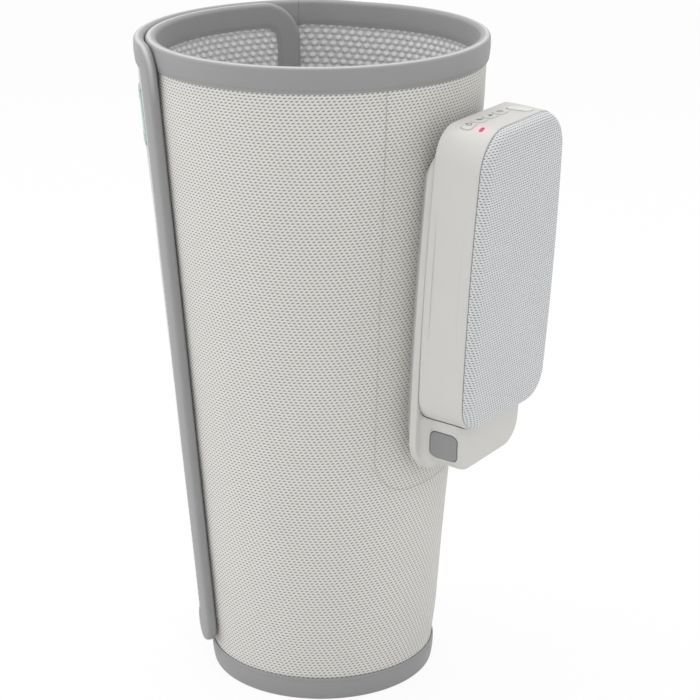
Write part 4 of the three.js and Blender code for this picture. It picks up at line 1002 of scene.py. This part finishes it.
def outline(kind, inset, depth=0.0):
    sizes = outlines[kind]
    halfWidth, top, bottom = (sizes[key] - inset for key in ("halfWidth", "top", "bottom"))
    if kind == "unit":
        top -= fallAt(depth)
    above = max(cornerAt(sizes, depth) - inset, housing["chamfer"])
    below = max(sizes["footCorner"] - inset, housing["chamfer"])
    end = halfWidth - housing["bow"]
    sideShares = [step / housing["sideSteps"] for step in range(1, housing["sideSteps"])]

    def arc(x, z, radius, start):
        for step in range(housing["arcSteps"] + 1):
            angle = start + step / housing["arcSteps"] * math.pi / 2
            yield x + radius * math.cos(angle), z + radius * math.sin(angle)

    def side(sense, start, stop):
        return [(sense * (end + bowAt(share)), start + share * (stop - start)) for share in sideShares]

    return [
        *arc(end - above, top - above, above, 0),
        *arc(above - end, top - above, above, math.pi / 2),
        *side(-1, top - above, below - bottom),
        *arc(below - end, below - bottom, below, math.pi),
        *arc(end - below, below - bottom, below, math.pi * 1.5),
        *side(1, below - bottom, top - above),
    ]


def outlineLoft(name, kind, levels, finish=None):
    rings = [[Vector((x, depth, z)) for x, z in outline(kind, inset, depth)] for inset, depth in levels]
    return loft(name, rings, finish)


def filletLevels(inset, depth, radius, steps=10):
    return [(inset + radius * (1 - cos), depth - radius * (1 - sin)) for cos, sin in quarterTurn(steps)]


def slab(size, centre):
    (w, d, h), (x, y, z) = size, centre
    corners = [(-1, -1), (1, -1), (1, 1), (-1, 1)]
    rings = [[Vector((x + i * w / 2, y + j * d / 2, z + k * h / 2)) for i, j in corners] for k in (-1, 1)]
    return loft("slab", rings)


def roundBar(size, corner, grow=0.0, steps=8):
    # a rectangle with round corners, grown by a margin
    x, y = size[0] / 2 + grow, size[1] / 2 + grow
    r = min(corner + grow, x, y)
    points = []
    for quarter, (cx, cy) in enumerate(((x - r, y - r), (r - x, y - r), (r - x, r - y), (x - r, r - y))):
        for step in range(steps + 1):
            angle = (quarter + step / steps) * math.pi / 2
            points.append((cx + r * math.cos(angle), cy + r * math.sin(angle)))
    return points


def prism(shape, low, high, at, axis="Z"):
    # an outline pushed along an axis, at its place on the other two; along X its own axes are Z and Y
    turned = {
        "X": lambda x, y, end: (end, at[0] + y, at[1] + x),
        "Y": lambda x, y, end: (at[0] + x, end, at[1] + y),
        "Z": lambda x, y, end: (at[0] + x, at[1] + y, end),
    }[axis]
    return loft("prism", [[Vector(turned(x, y, end)) for x, y in shape] for end in (low, high)])


def disc(radius, sides=32):
    angles = [math.tau * side / sides for side in range(sides)]
    return [(radius * math.cos(angle), radius * math.sin(angle)) for angle in angles]


def topLevel(x, y, proud):
    # the height of the housing's top, grown by a margin, round its corners and its back fillet
    sizes = outlines["unit"]
    fillet = housing["fillet"] + proud
    lean = min(max(y - housing["depth"] + housing["fillet"], 0.0) / fillet, 1.0)
    inset = fillet * (1 - math.sqrt(1 - lean * lean)) - proud
    corner = cornerAt(sizes, y)
    beyond = max(abs(x) - (sizes["halfWidth"] - housing["bow"] - corner), 0.0)
    return sizes["top"] - fallAt(y) - corner + math.sqrt(max((corner - inset) ** 2 - beyond**2, 0.0))


def onTop(shape, at, proud, lift=0.0):
    return [Vector((at[0] + x, at[1] + y, topLevel(at[0] + x, at[1] + y, proud) + lift)) for x, y in shape]


def topTool(cap, at):
    return prism(roundBar(cap["size"], cap["round"], cap["gap"]), 40.0, 90.0, at)


def dovetail(extra, low, high, base):
    half, height, undercut = rail["width"] / 2 + extra, rail["height"] + extra, rail["undercut"]
    shape = [(undercut - half, base), (half - undercut, base), (half, base - height), (-half, base - height)]
    return loft("dovetail", [[Vector((x, y, end)) for x, y in shape] for end in (low, high)])


def makeHousing():
    wall, depth, rim, chamfer, lip = (housing[key] for key in ("wall", "depth", "rim", "chamfer", "lip"))
    levels = [
        (wall, depth - wall),
        *((wall, float(level)) for level in range(19, 2, -2)),
        (wall, rim),
        (chamfer, rim),
        (lip, rim + lip),
        (0.0, rim + chamfer),
        *((0.0, float(level)) for level in range(3, 21, 2)),
        *filletLevels(0.0, depth, housing["fillet"]),
    ]
    shellPiece = outlineLoft("pumpHousing", "unit", levels, "housing")
    low, high = housing["grooveFoot"], housing["grooveTop"] + wall
    size = (rail["width"] + 2 * wall, rail["cut"], high - low)
    middle = depth - wall + housing["rearBlock"] - rail["cut"] / 2
    block = slab(size, (0, middle, (high + low) / 2))
    carve(shellPiece, [block], "UNION")
    tools = [dovetail(rail["gap"], -130, housing["grooveTop"] + rail["gap"], depth + rail["gap"])]
    tools += [topTool(caps["button"], (side, buttonBack)) for side in buttonSides.values()]
    tools += [topTool(caps["light"], lightAt), topTool(socket, portAt)]
    seat = roundBar(caps["port"]["size"], caps["port"]["round"], caps["port"]["gap"])
    tools.append(loft("seat", [onTop(seat, portAt, rise) for rise in housing["seatSpan"]]))
    near, far = screws["reach"]
    for side in (-screws["side"], screws["side"]):
        for height in (-screws["rise"], screws["rise"]):
            tools.append(prism(disc(screws["hole"]), near, far, (side, height), "Y"))
            tools.append(prism(disc(screws["head"]), depth - screws["headDeep"], far, (side, height), "Y"))
    for side in nozzles["sides"]:
        at = (side, nozzles["back"])
        tools.append(prism(disc(nozzles["housingHole"]), *housing["nozzleSpan"], at))
    hold = roundBar((grip["length"], grip["width"]), grip["corner"], steps=10)
    inside = outlines["unit"]["halfWidth"] - grip["deep"]
    for sense in (-1, 1):
        tall, level = housing["latchSlot"]
        tools.append(slab((*latch["slot"], tall), (sense * latch["side"], release["back"], level)))
        tools.append(prism(hold, sense * inside, sense * past, (grip["back"], grip["rise"]), "X"))
    carve(shellPiece, tools)
    return settle(shadeSmooth(bevelled(shellPiece, housing["bevel"]), 34))


cushion = {
    "inset": 0.6, "lip": 0.5, "width": 5.0, "deep": 4.5, "crown": 0.6, "crownReach": 0.86,
    "thickness": 0.8, "steps": 12,
}


def domeLevels(under):
    # the rolled edge of the cloth front, and the slow rise to its middle
    width, deep, steps = cushion["width"], cushion["deep"], cushion["steps"]
    start = cushion["inset"] + under
    levels = []
    for cos, sin in quarterTurn(steps):
        levels.append((start + (width - under) * (1 - cos), cushion["lip"] - (deep - under) * sin))
    for step in range(1, steps + 1):
        share = step / steps * cushion["crownReach"]
        rise = cushion["crown"] * (1 - (1 - share) * (1 - share))
        reach = share * (outlines["unit"]["halfWidth"] - width - housing["bow"])
        levels.append((cushion["inset"] + width + reach, cushion["lip"] - deep + under - rise))
    return levels


def makeFrontCloth():
    # the weave keeps its size over the rolled edge: each ring's UV moves in by the length run since the last
    face = domeLevels(0.0)
    levels = [*reversed(domeLevels(cushion["thickness"])), *face]
    rings = [[Vector((x, depth, z)) for x, z in outline("unit", inset)] for inset, depth in levels]
    reach, run = face[-1][0], {}
    for here, last in zip(reversed(face), [face[-1], *reversed(face)]):
        reach -= math.dist(here, last)
        run[here[0]] = reach
    uv = []
    for inset, _ in levels:
        nearest = min(run, key=lambda known: abs(known - inset))
        uv += [(x * mm, z * mm) for x, z in outline("unit", run[nearest])]
    return settle(shadeSmooth(loft("frontCloth", rings, "frontCloth", uv), 60))


def rimSteps(low, proud, rim):
    # inset and rise up the side of a cap and round its rim
    turns = [(rim * (1 - math.cos(a)), proud - rim * (1 - math.sin(a))) for a in (0.4, 0.8, 1.2, 1.57)]
    return [(0.0, low), (0.0, proud - rim), *turns]


def crownedCap(name, cap, at, finish):
    # a cap that follows the curve of the housing's top, with a rounded rim and a slight crown
    rim, span = cap["rim"], min(cap["size"]) / 2
    steps = rimSteps(*cap["rise"], rim)
    inner = rim
    while inner < span - capRings["middle"]:
        inner += capRings["step"]
        steps.append((inner, cap["rise"][1]))
    rings = []
    for inset, rise in steps:
        size = [side - 2 * inset for side in cap["size"]]
        corner = max(cap["round"] - inset, capRings["leastRound"])
        lift = cap["dome"] * (1 - (1 - min(max(inset - rim, 0) / (span - rim), 1)) ** 2)
        rings.append(onTop(roundBar(size, corner), at, rise, lift))
    return settle(shadeSmooth(loft(name, rings, finish), 50))


dock = {
    "front": 24.05, "back": 27.2, "wall": 2.4, "edge": 0.5, "taperInset": 20.0, "taperDepth": 24.0,
    "taperShares": [(0.0, 0.0), (0.125, 0.075), (0.4, 0.21), (0.7, 0.4), (0.9, 0.6), (1.0, 1.0)],
    "footFront": 4.5, "footFillet": 3.0, "rootFillet": 4.0, "footTop": -66.0, "unitGap": 0.4,
    "coneGap": 0.3, "plate": -74.6, "bevel": 0.25, "stemHole": (5.9, 5.0, 5.0),
    "nozzleSpan": (-76.8, -71), "latchSlot": (11, -71.3),
}
release = {
    "size": (13.4, 14.0), "corner": 3.0, "back": 13.0, "level": -82.0, "stemLevel": -84.3,
    "stem": 4.4, "gap": 0.35, "pocket": 23.6, "inside": 26.4, "proud": 0.4, "rim": 0.38,
    "hollow": 0.45, "hollowEdge": (0.8, 3.2), "insets": (1.0, 1.4, 1.9, 2.5, 3.2, 4.2, 5.4, 6.2),
}
spring = {
    "radius": 2.7, "wire": 0.45, "turns": 4, "length": 7.6, "outer": 22.9, "travel": 2.5,
    "turnSteps": 20,
}


def coneSpace():
    # the wrap's cone, which the dock's back follows
    inverse = unitMatrix.inverted()
    rings = []
    for height in (-60.0, 380.0):
        circle = disc(coneRadius(height) + dock["coneGap"], 240)
        rings.append([inverse @ place(x, y, height) for x, y in circle])
    return loft("coneSpace", rings)


def makeDock():
    front, back, wall, edge = dock["front"], dock["back"], dock["wall"], dock["edge"]

    def taper(extra):
        inset, depth = dock["taperInset"], dock["taperDepth"]
        return [(extra + near * inset, back + far * depth) for near, far in dock["taperShares"]]

    rim = [(edge, front), (edge / 2, front + edge / 6), (edge / 6, front + edge / 2), (0, front + edge)]
    tray = outlineLoft("pumpDock", "dock", [*rim, *taper(0)], "dock")
    hollow = outlineLoft("hollow", "dock", [(wall, front + wall), *taper(wall)])
    fillet = reversed(filletLevels(0, -dock["footFront"], dock["footFillet"]))
    footEdge = [(inset, -depth) for inset, depth in fillet]
    root = [(-inset, depth) for inset, depth in filletLevels(0, front, dock["rootFillet"], 8)]
    foot = outlineLoft("foot", "foot", [*footEdge, *root, (root[-1][0], back)])
    carve(foot, [slab((200, 200, 200), (0, 0, dock["footTop"] - 100))], "INTERSECT")
    carve(foot, [outlineLoft("space", "unit", [(-dock["unitGap"], -30), (-dock["unitGap"], front)])])
    carve(tray, [foot], "UNION")
    footSpace = outlineLoft("footSpace", "foot", [(wall, dock["footFront"] + wall), (wall, back)])
    carve(footSpace, [slab((200, 200, 100), (0, 0, dock["plate"] - 50))], "INTERSECT")
    carve(tray, [hollow])
    carve(tray, [footSpace])
    carve(tray, [dovetail(0.0, rail["low"], rail["high"], front)], "UNION")
    tools = [coneSpace()]
    pocket = roundBar(release["size"], release["corner"], release["gap"], 10)
    reach = (release["inside"] + latch["side"]) / 2
    for sense in (-1, 1):
        at = (release["back"], release["level"])
        tools.append(prism(pocket, sense * release["pocket"], sense * past, at, "X"))
        tools.append(slab(dock["stemHole"], (sense * reach, release["back"], release["stemLevel"])))
        tall, level = dock["latchSlot"]
        tools.append(slab((*latch["slot"], tall), (sense * latch["side"], release["back"], level)))
    for side in nozzles["sides"]:
        tools.append(prism(disc(nozzles["plateHole"]), *dock["nozzleSpan"], (side, nozzles["back"])))
    carve(tray, tools)
    return settle(shadeSmooth(bevelled(tray, dock["bevel"]), 34))


def footSide(z, y):
    # how far out the foot's side stands, round its lower corner and its front fillet
    sizes = outlines["foot"]
    radius, fillet = sizes["footCorner"], dock["footFillet"]
    end = sizes["halfWidth"] - housing["bow"]
    low = radius - sizes["bottom"]
    lean = min(max(dock["footFront"] + fillet - y, 0.0) / fillet, 1.0)
    end -= fillet * (1 - math.sqrt(1 - lean * lean))
    if z < low:
        beyond = min(low - z, radius)
        return end - radius + math.sqrt(radius * radius - beyond * beyond)
    return end + bowAt((z - low) / (sizes["top"] - sizes["topCorners"][0] - low))


def makeRelease(hand, sense):
    # the cap bows with the foot's side, with a rounded rim, a shallow thumb hollow and a flat inner face
    back, level = release["back"], release["level"]
    steps = rimSteps(-1.0, release["proud"], release["rim"])
    steps += [
        (inset, release["proud"] - release["hollow"] * smoothStep(inset, *release["hollowEdge"]))
        for inset in release["insets"]
    ]
    rings = []
    for inset, rise in steps:
        size = [side - 2 * inset for side in release["size"]]
        ring = []
        for z, y in roundBar(size, max(release["corner"] - inset * 0.6, 0.4), steps=10):
            inner = rise < -release["rim"]
            reach = release["inside"] if inner else footSide(level + z, back + y) + rise
            ring.append(Vector((sense * reach, back + y, level + z)))
        rings.append(ring)
    cap = loft(f"releaseButton_{hand}", rings, "grip")
    side, thickness, width, foot = latch["side"], latch["thickness"], latch["width"], latch["foot"]
    reach = release["inside"] + 1 - side
    stem = release["stem"]
    rise, (nose, tall) = latch["rise"], latch["nose"]
    tools = [
        slab((reach, stem, stem), (sense * (side + reach / 2), back, release["stemLevel"])),
        slab((thickness, width, rise), (sense * (side + thickness / 2), back, rise / 2 - foot)),
        slab((nose, width, tall), (sense * (side + nose / 2), back, rise - tall / 2 - foot)),
    ]
    return settle(shadeSmooth(carve(cap, tools, "UNION"), 40))


def makeSpring(hand, sense):
    # a coil between the latch arm and the dock's rib
    radius, wire, turns = spring["radius"], spring["wire"], spring["turns"]
    steps = turns * spring["turnSteps"]
    rings = []
    for step in range(steps + 1):
        level = wire + step / steps * (spring["length"] - 2 * wire)
        angle = step / steps * turns * math.tau
        ring = []
        for across, up in disc(wire, 8):
            x, reach = spring["outer"] - level - up, radius + across
            y, z = release["back"] + reach * math.sin(angle), release["stemLevel"] + reach * math.cos(angle)
            ring.append(Vector((sense * x, y, z)))
        rings.append(ring)
    return settle(shadeSmooth(loft(f"releaseSpring_{hand}", rings, "steel"), 60))


pumpHousing = makeHousing()
print("housing made:", len(pumpHousing.data.polygons))
frontCloth = makeFrontCloth()
pumpDock = makeDock()
print("dock made:", len(pumpDock.data.polygons))
buttons = {}
for name, side in buttonSides.items():
    buttons[name] = crownedCap(f"{name}_cap", caps["button"], (side, buttonBack), "button")
indicator = crownedCap("indicator", caps["light"], lightAt, "light")
portCover = crownedCap("portFlap", caps["port"], portAt, "cover")
hands = {"left": -1, "right": 1}
releases = {f"release_button_{hand}": makeRelease(hand, sense) for hand, sense in hands.items()}
springs = {hand: makeSpring(hand, sense) for hand, sense in hands.items()}

# Symbols on the buttons: thin inked strokes that follow the caps
ink = {"width": 0.42, "rise": 0.05, "sink": -0.1, "proud": 0.68}


def stroke(points):
    rings = []
    for index, (x, y) in enumerate(points):
        ahead, behind = points[min(index + 1, len(points) - 1)], points[max(index - 1, 0)]
        half = ink["width"] / 2 / (math.dist(ahead, behind) or 1.0)
        nx, ny = (behind[1] - ahead[1]) * half, (ahead[0] - behind[0]) * half
        ring = []
        for sense, lift in ((1, ink["sink"]), (1, ink["rise"]), (-1, ink["rise"]), (-1, ink["sink"])):
            ring += onTop([(x + nx * sense, y + ny * sense)], (0, 0), ink["proud"], lift)
        rings.append(ring)
    return rings


def bend(radius, start, stop, steps=18):
    angles = [math.radians(start + (stop - start) * k / steps) for k in range(steps + 1)]
    return [(radius * math.cos(a), radius * math.sin(a)) for a in angles]


def line(ax, ay, bx, by, steps=4):
    return [(ax + (bx - ax) * k / steps, ay + (by - ay) * k / steps) for k in range(steps + 1)]


def ripples(rise):
    return [(x / 10 - 1.5, 0.6 * math.sin(x / 10 * math.tau / 1.5) + rise) for x in range(31)]


symbolStrokes = {
    "power_button": [bend(1.25, 125, 415), line(0, 0.4, 0, 1.7)],
    "mode_button": [ripples(-0.6), ripples(0.6)],
    "level_button": [line(-1.3 + 0.85 * k, -1.1, -1.3 + 0.85 * k, -0.3 + 0.5 * k) for k in range(4)],
    "time_button": [bend(1.35, 0, 352), line(0, 0, 0, 0.85), line(0, 0, 0.6, -0.3)],
}
symbols = {}
for name, strokes in symbolStrokes.items():
    points, faces = [], []
    for path in strokes:
        rings = stroke([(buttonSides[name] + x, buttonBack + y) for x, y in path])
        faces += [tuple(len(points) + corner for corner in face) for face in loftFaces(rings)]
        points += [point for ring in rings for point in ring]
    symbols[name] = settle(makeObject(f"{name}_symbol", points, faces, "ink"))
print("pump unit made")

# What carries each piece, the node that it stands for and its slot
dressing = {
    "wrap_and_dock": [
        (wallCloth, "outer_cloth", "outer_cloth"),
        (wallLining, "lining", "spacer_mesh"),
        (wallTape, "wall_binding", "binding_tape"),
        (loopStrip, "loop_strip", "spacer_mesh"),
        (pumpDock, "dock_shell", "housing_plastic"),
        *((bladder, f"bladder_{part}", "bladder_film") for part, bladder in bladders.items()),
        *((coil, f"release_spring_{hand}", "bright_steel") for hand, coil in springs.items()),
    ],
    "flap": [
        (flapCloth, "flap_cloth", "outer_cloth"),
        (flapPadding, "flap_padding", "padding_foam"),
        (flapLining, "flap_lining", "spacer_mesh"),
        (flapTape, "flap_binding", "binding_tape"),
        (hookStrip, "hook_strip", "hook_tape"),
        (tab, "pull_tab", "tab_ribbon"),
    ],
    "pump_unit": [
        (pumpHousing, "rear_housing", "housing_plastic"),
        (frontCloth, "front_cloth", "front_weave"),
        (indicator, "status_light", "light_window"),
    ],
    "port_cover": [(portCover, "port_cover", "housing_plastic")],
    **{name: [(cap, name, "grip_plastic")] for name, cap in releases.items()},
    **{name: [(cap, name, "housing_plastic")] for name, cap in buttons.items()},
}
riders = {
    "wrap_and_dock": [wallStitches, seamStitches, loopStitches],
    "flap": [flapStitches, hookStitches, tabStitches],
    **{name: [piece] for name, piece in symbols.items()},
}
for body, rows in dressing.items():
    for piece, node, slot in rows:
        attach(piece, body)
        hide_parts(node)
for body, pieces in riders.items():
    for piece in pieces:
        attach(piece, body)
for hand, sense in hands.items():
    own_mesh(springs[hand])

# Finishes on the solids that show as they are, by how their names start
nodeFinish = {
    "strap": ["strap_"],
    "steel": ["dock_screw_", "housing_screw_", "charge_socket", "pump_motor"],
    "valve": ["air_", "pump_head"],
    "rubber": ["nozzle_seal_", "pump_cradle", "pump_tube"],
    "hose": ["hose_"],
    "frame": ["front_frame"],
    "board": ["main_board", "button_board"],
    "battery": ["battery_pack"],
    "dark": ["valve_"],
}
replaced = {node for rows in dressing.values() for _, node, _ in rows}
for name, node in nodes.items():
    if name in replaced:
        continue
    finish = next(finish for finish, starts in nodeFinish.items() if name.startswith(tuple(starts)))
    if not node.data.materials:
        node.data.materials.append(None)
    for slot in node.material_slots:
        slot.link = "OBJECT"
        slot.material = finishes[finish]

# The camera, from the photograph's own view
view = {
    "position": (-893.436, -584.648, 531.363),
    "right": (0.5353, -0.8447, -0.0033),
    "down": (-0.2775, -0.1722, -0.9452),
    "forward": (0.7978, 0.5068, -0.3265),
    "lens": 118.54,
}
lens = bpy.data.cameras.new("camera")
lens.lens = view["lens"]
lens.sensor_width = 36
lens.sensor_fit = "HORIZONTAL"
lens.clip_end = 20
camera = bpy.data.objects.new("camera", lens)
scene.collection.objects.link(camera)
right, down, forward = (Vector(view[key]) for key in ("right", "down", "forward"))
axes = Matrix((right, -down, -forward)).transposed().to_4x4()
camera.matrix_world = Matrix.Translation(place(*view["position"])) @ axes
scene.camera = camera

# Floor, world and lamps
room = {"floor": 12.0, "thickness": 0.02, "pale": 0.9, "glow": 0.92, "world": 0.62}
lamps = {
    "key": {"watts": 6.5, "size": 1.1, "at": (-1.3, -1.2, 1.3), "aim": 0.17},
    "fill": {"watts": 4.5, "size": 1.4, "at": (0.9, -1.5, 0.8), "aim": 0.17},
    "top": {"watts": 12.0, "size": 1.2, "at": (0.1, 0.3, 1.7), "aim": 0.2},
    "left": {"watts": 8.5, "size": 1.2, "at": (-0.9, 1.4, 0.8), "aim": 0.17},
}


def seenBy(tree, *kinds):
    # one for the kinds of ray that are named, zero for the rest
    path = Wire(tree).node("ShaderNodeLightPath")
    return reckon(sum(path.also(f"Is {kind} Ray") for kind in kinds), "MINIMUM", 1.0)


def paleFloor():
    wide = room["floor"]
    floor = slab((wide, wide, room["thickness"]), (0, 0, -room["thickness"] / 2))
    floor.name = "floor"
    material = bpy.data.materials.new("paleFloor")
    material.use_nodes = True
    tree = material.node_tree
    shader = tree.nodes["Principled BSDF"]
    shader.inputs["Base Color"].default_value = (room["pale"], room["pale"], room["pale"], 1)
    shader.inputs["Roughness"].default_value = 0.9
    glow = Wire(tree).node("ShaderNodeEmission", None, {"Color": (1, 1, 1, 1), "Strength": 1.0})
    share = seenBy(tree, "Camera", "Glossy") * room["glow"]
    mixed = glow.node("ShaderNodeMixShader", None, {0: share, 1: Wire(tree, shader.outputs[0]), 2: glow})
    tree.links.new(mixed.socket, tree.nodes["Material Output"].inputs["Surface"])
    floor.data.materials.append(material)


def studioWorld():
    # white where the camera sees it, dimmer where it lights the object
    scene.world = bpy.data.worlds.new("studio")
    scene.world.use_nodes = True
    tree = scene.world.node_tree
    back = tree.nodes["Background"]
    strength = room["world"] + seenBy(tree, "Camera", "Glossy", "Transmission") * (1 - room["world"])
    back.inputs["Color"].default_value = (1, 1, 1, 1)
    tree.links.new(strength.socket, back.inputs["Strength"])


def makeLamp(name, watts, size, at, aim):
    data = bpy.data.lights.new(name, "AREA")
    data.energy = watts
    data.size = size
    lamp = bpy.data.objects.new(name, data)
    scene.collection.objects.link(lamp)
    facing = (Vector((0, 0, aim)) - Vector(at)).to_track_quat("-Z", "Y")
    lamp.matrix_world = Matrix.Translation(at) @ facing.to_matrix().to_4x4()


paleFloor()
studioWorld()
for name, lamp in lamps.items():
    makeLamp(name, **lamp)
scene.view_settings.view_transform = "Standard"

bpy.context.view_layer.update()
meshes = [item.data for item in bpy.data.objects if item.type == "MESH"]
print("triangles:", sum(len(mesh.loop_triangles) or len(mesh.polygons) * 2 for mesh in meshes))
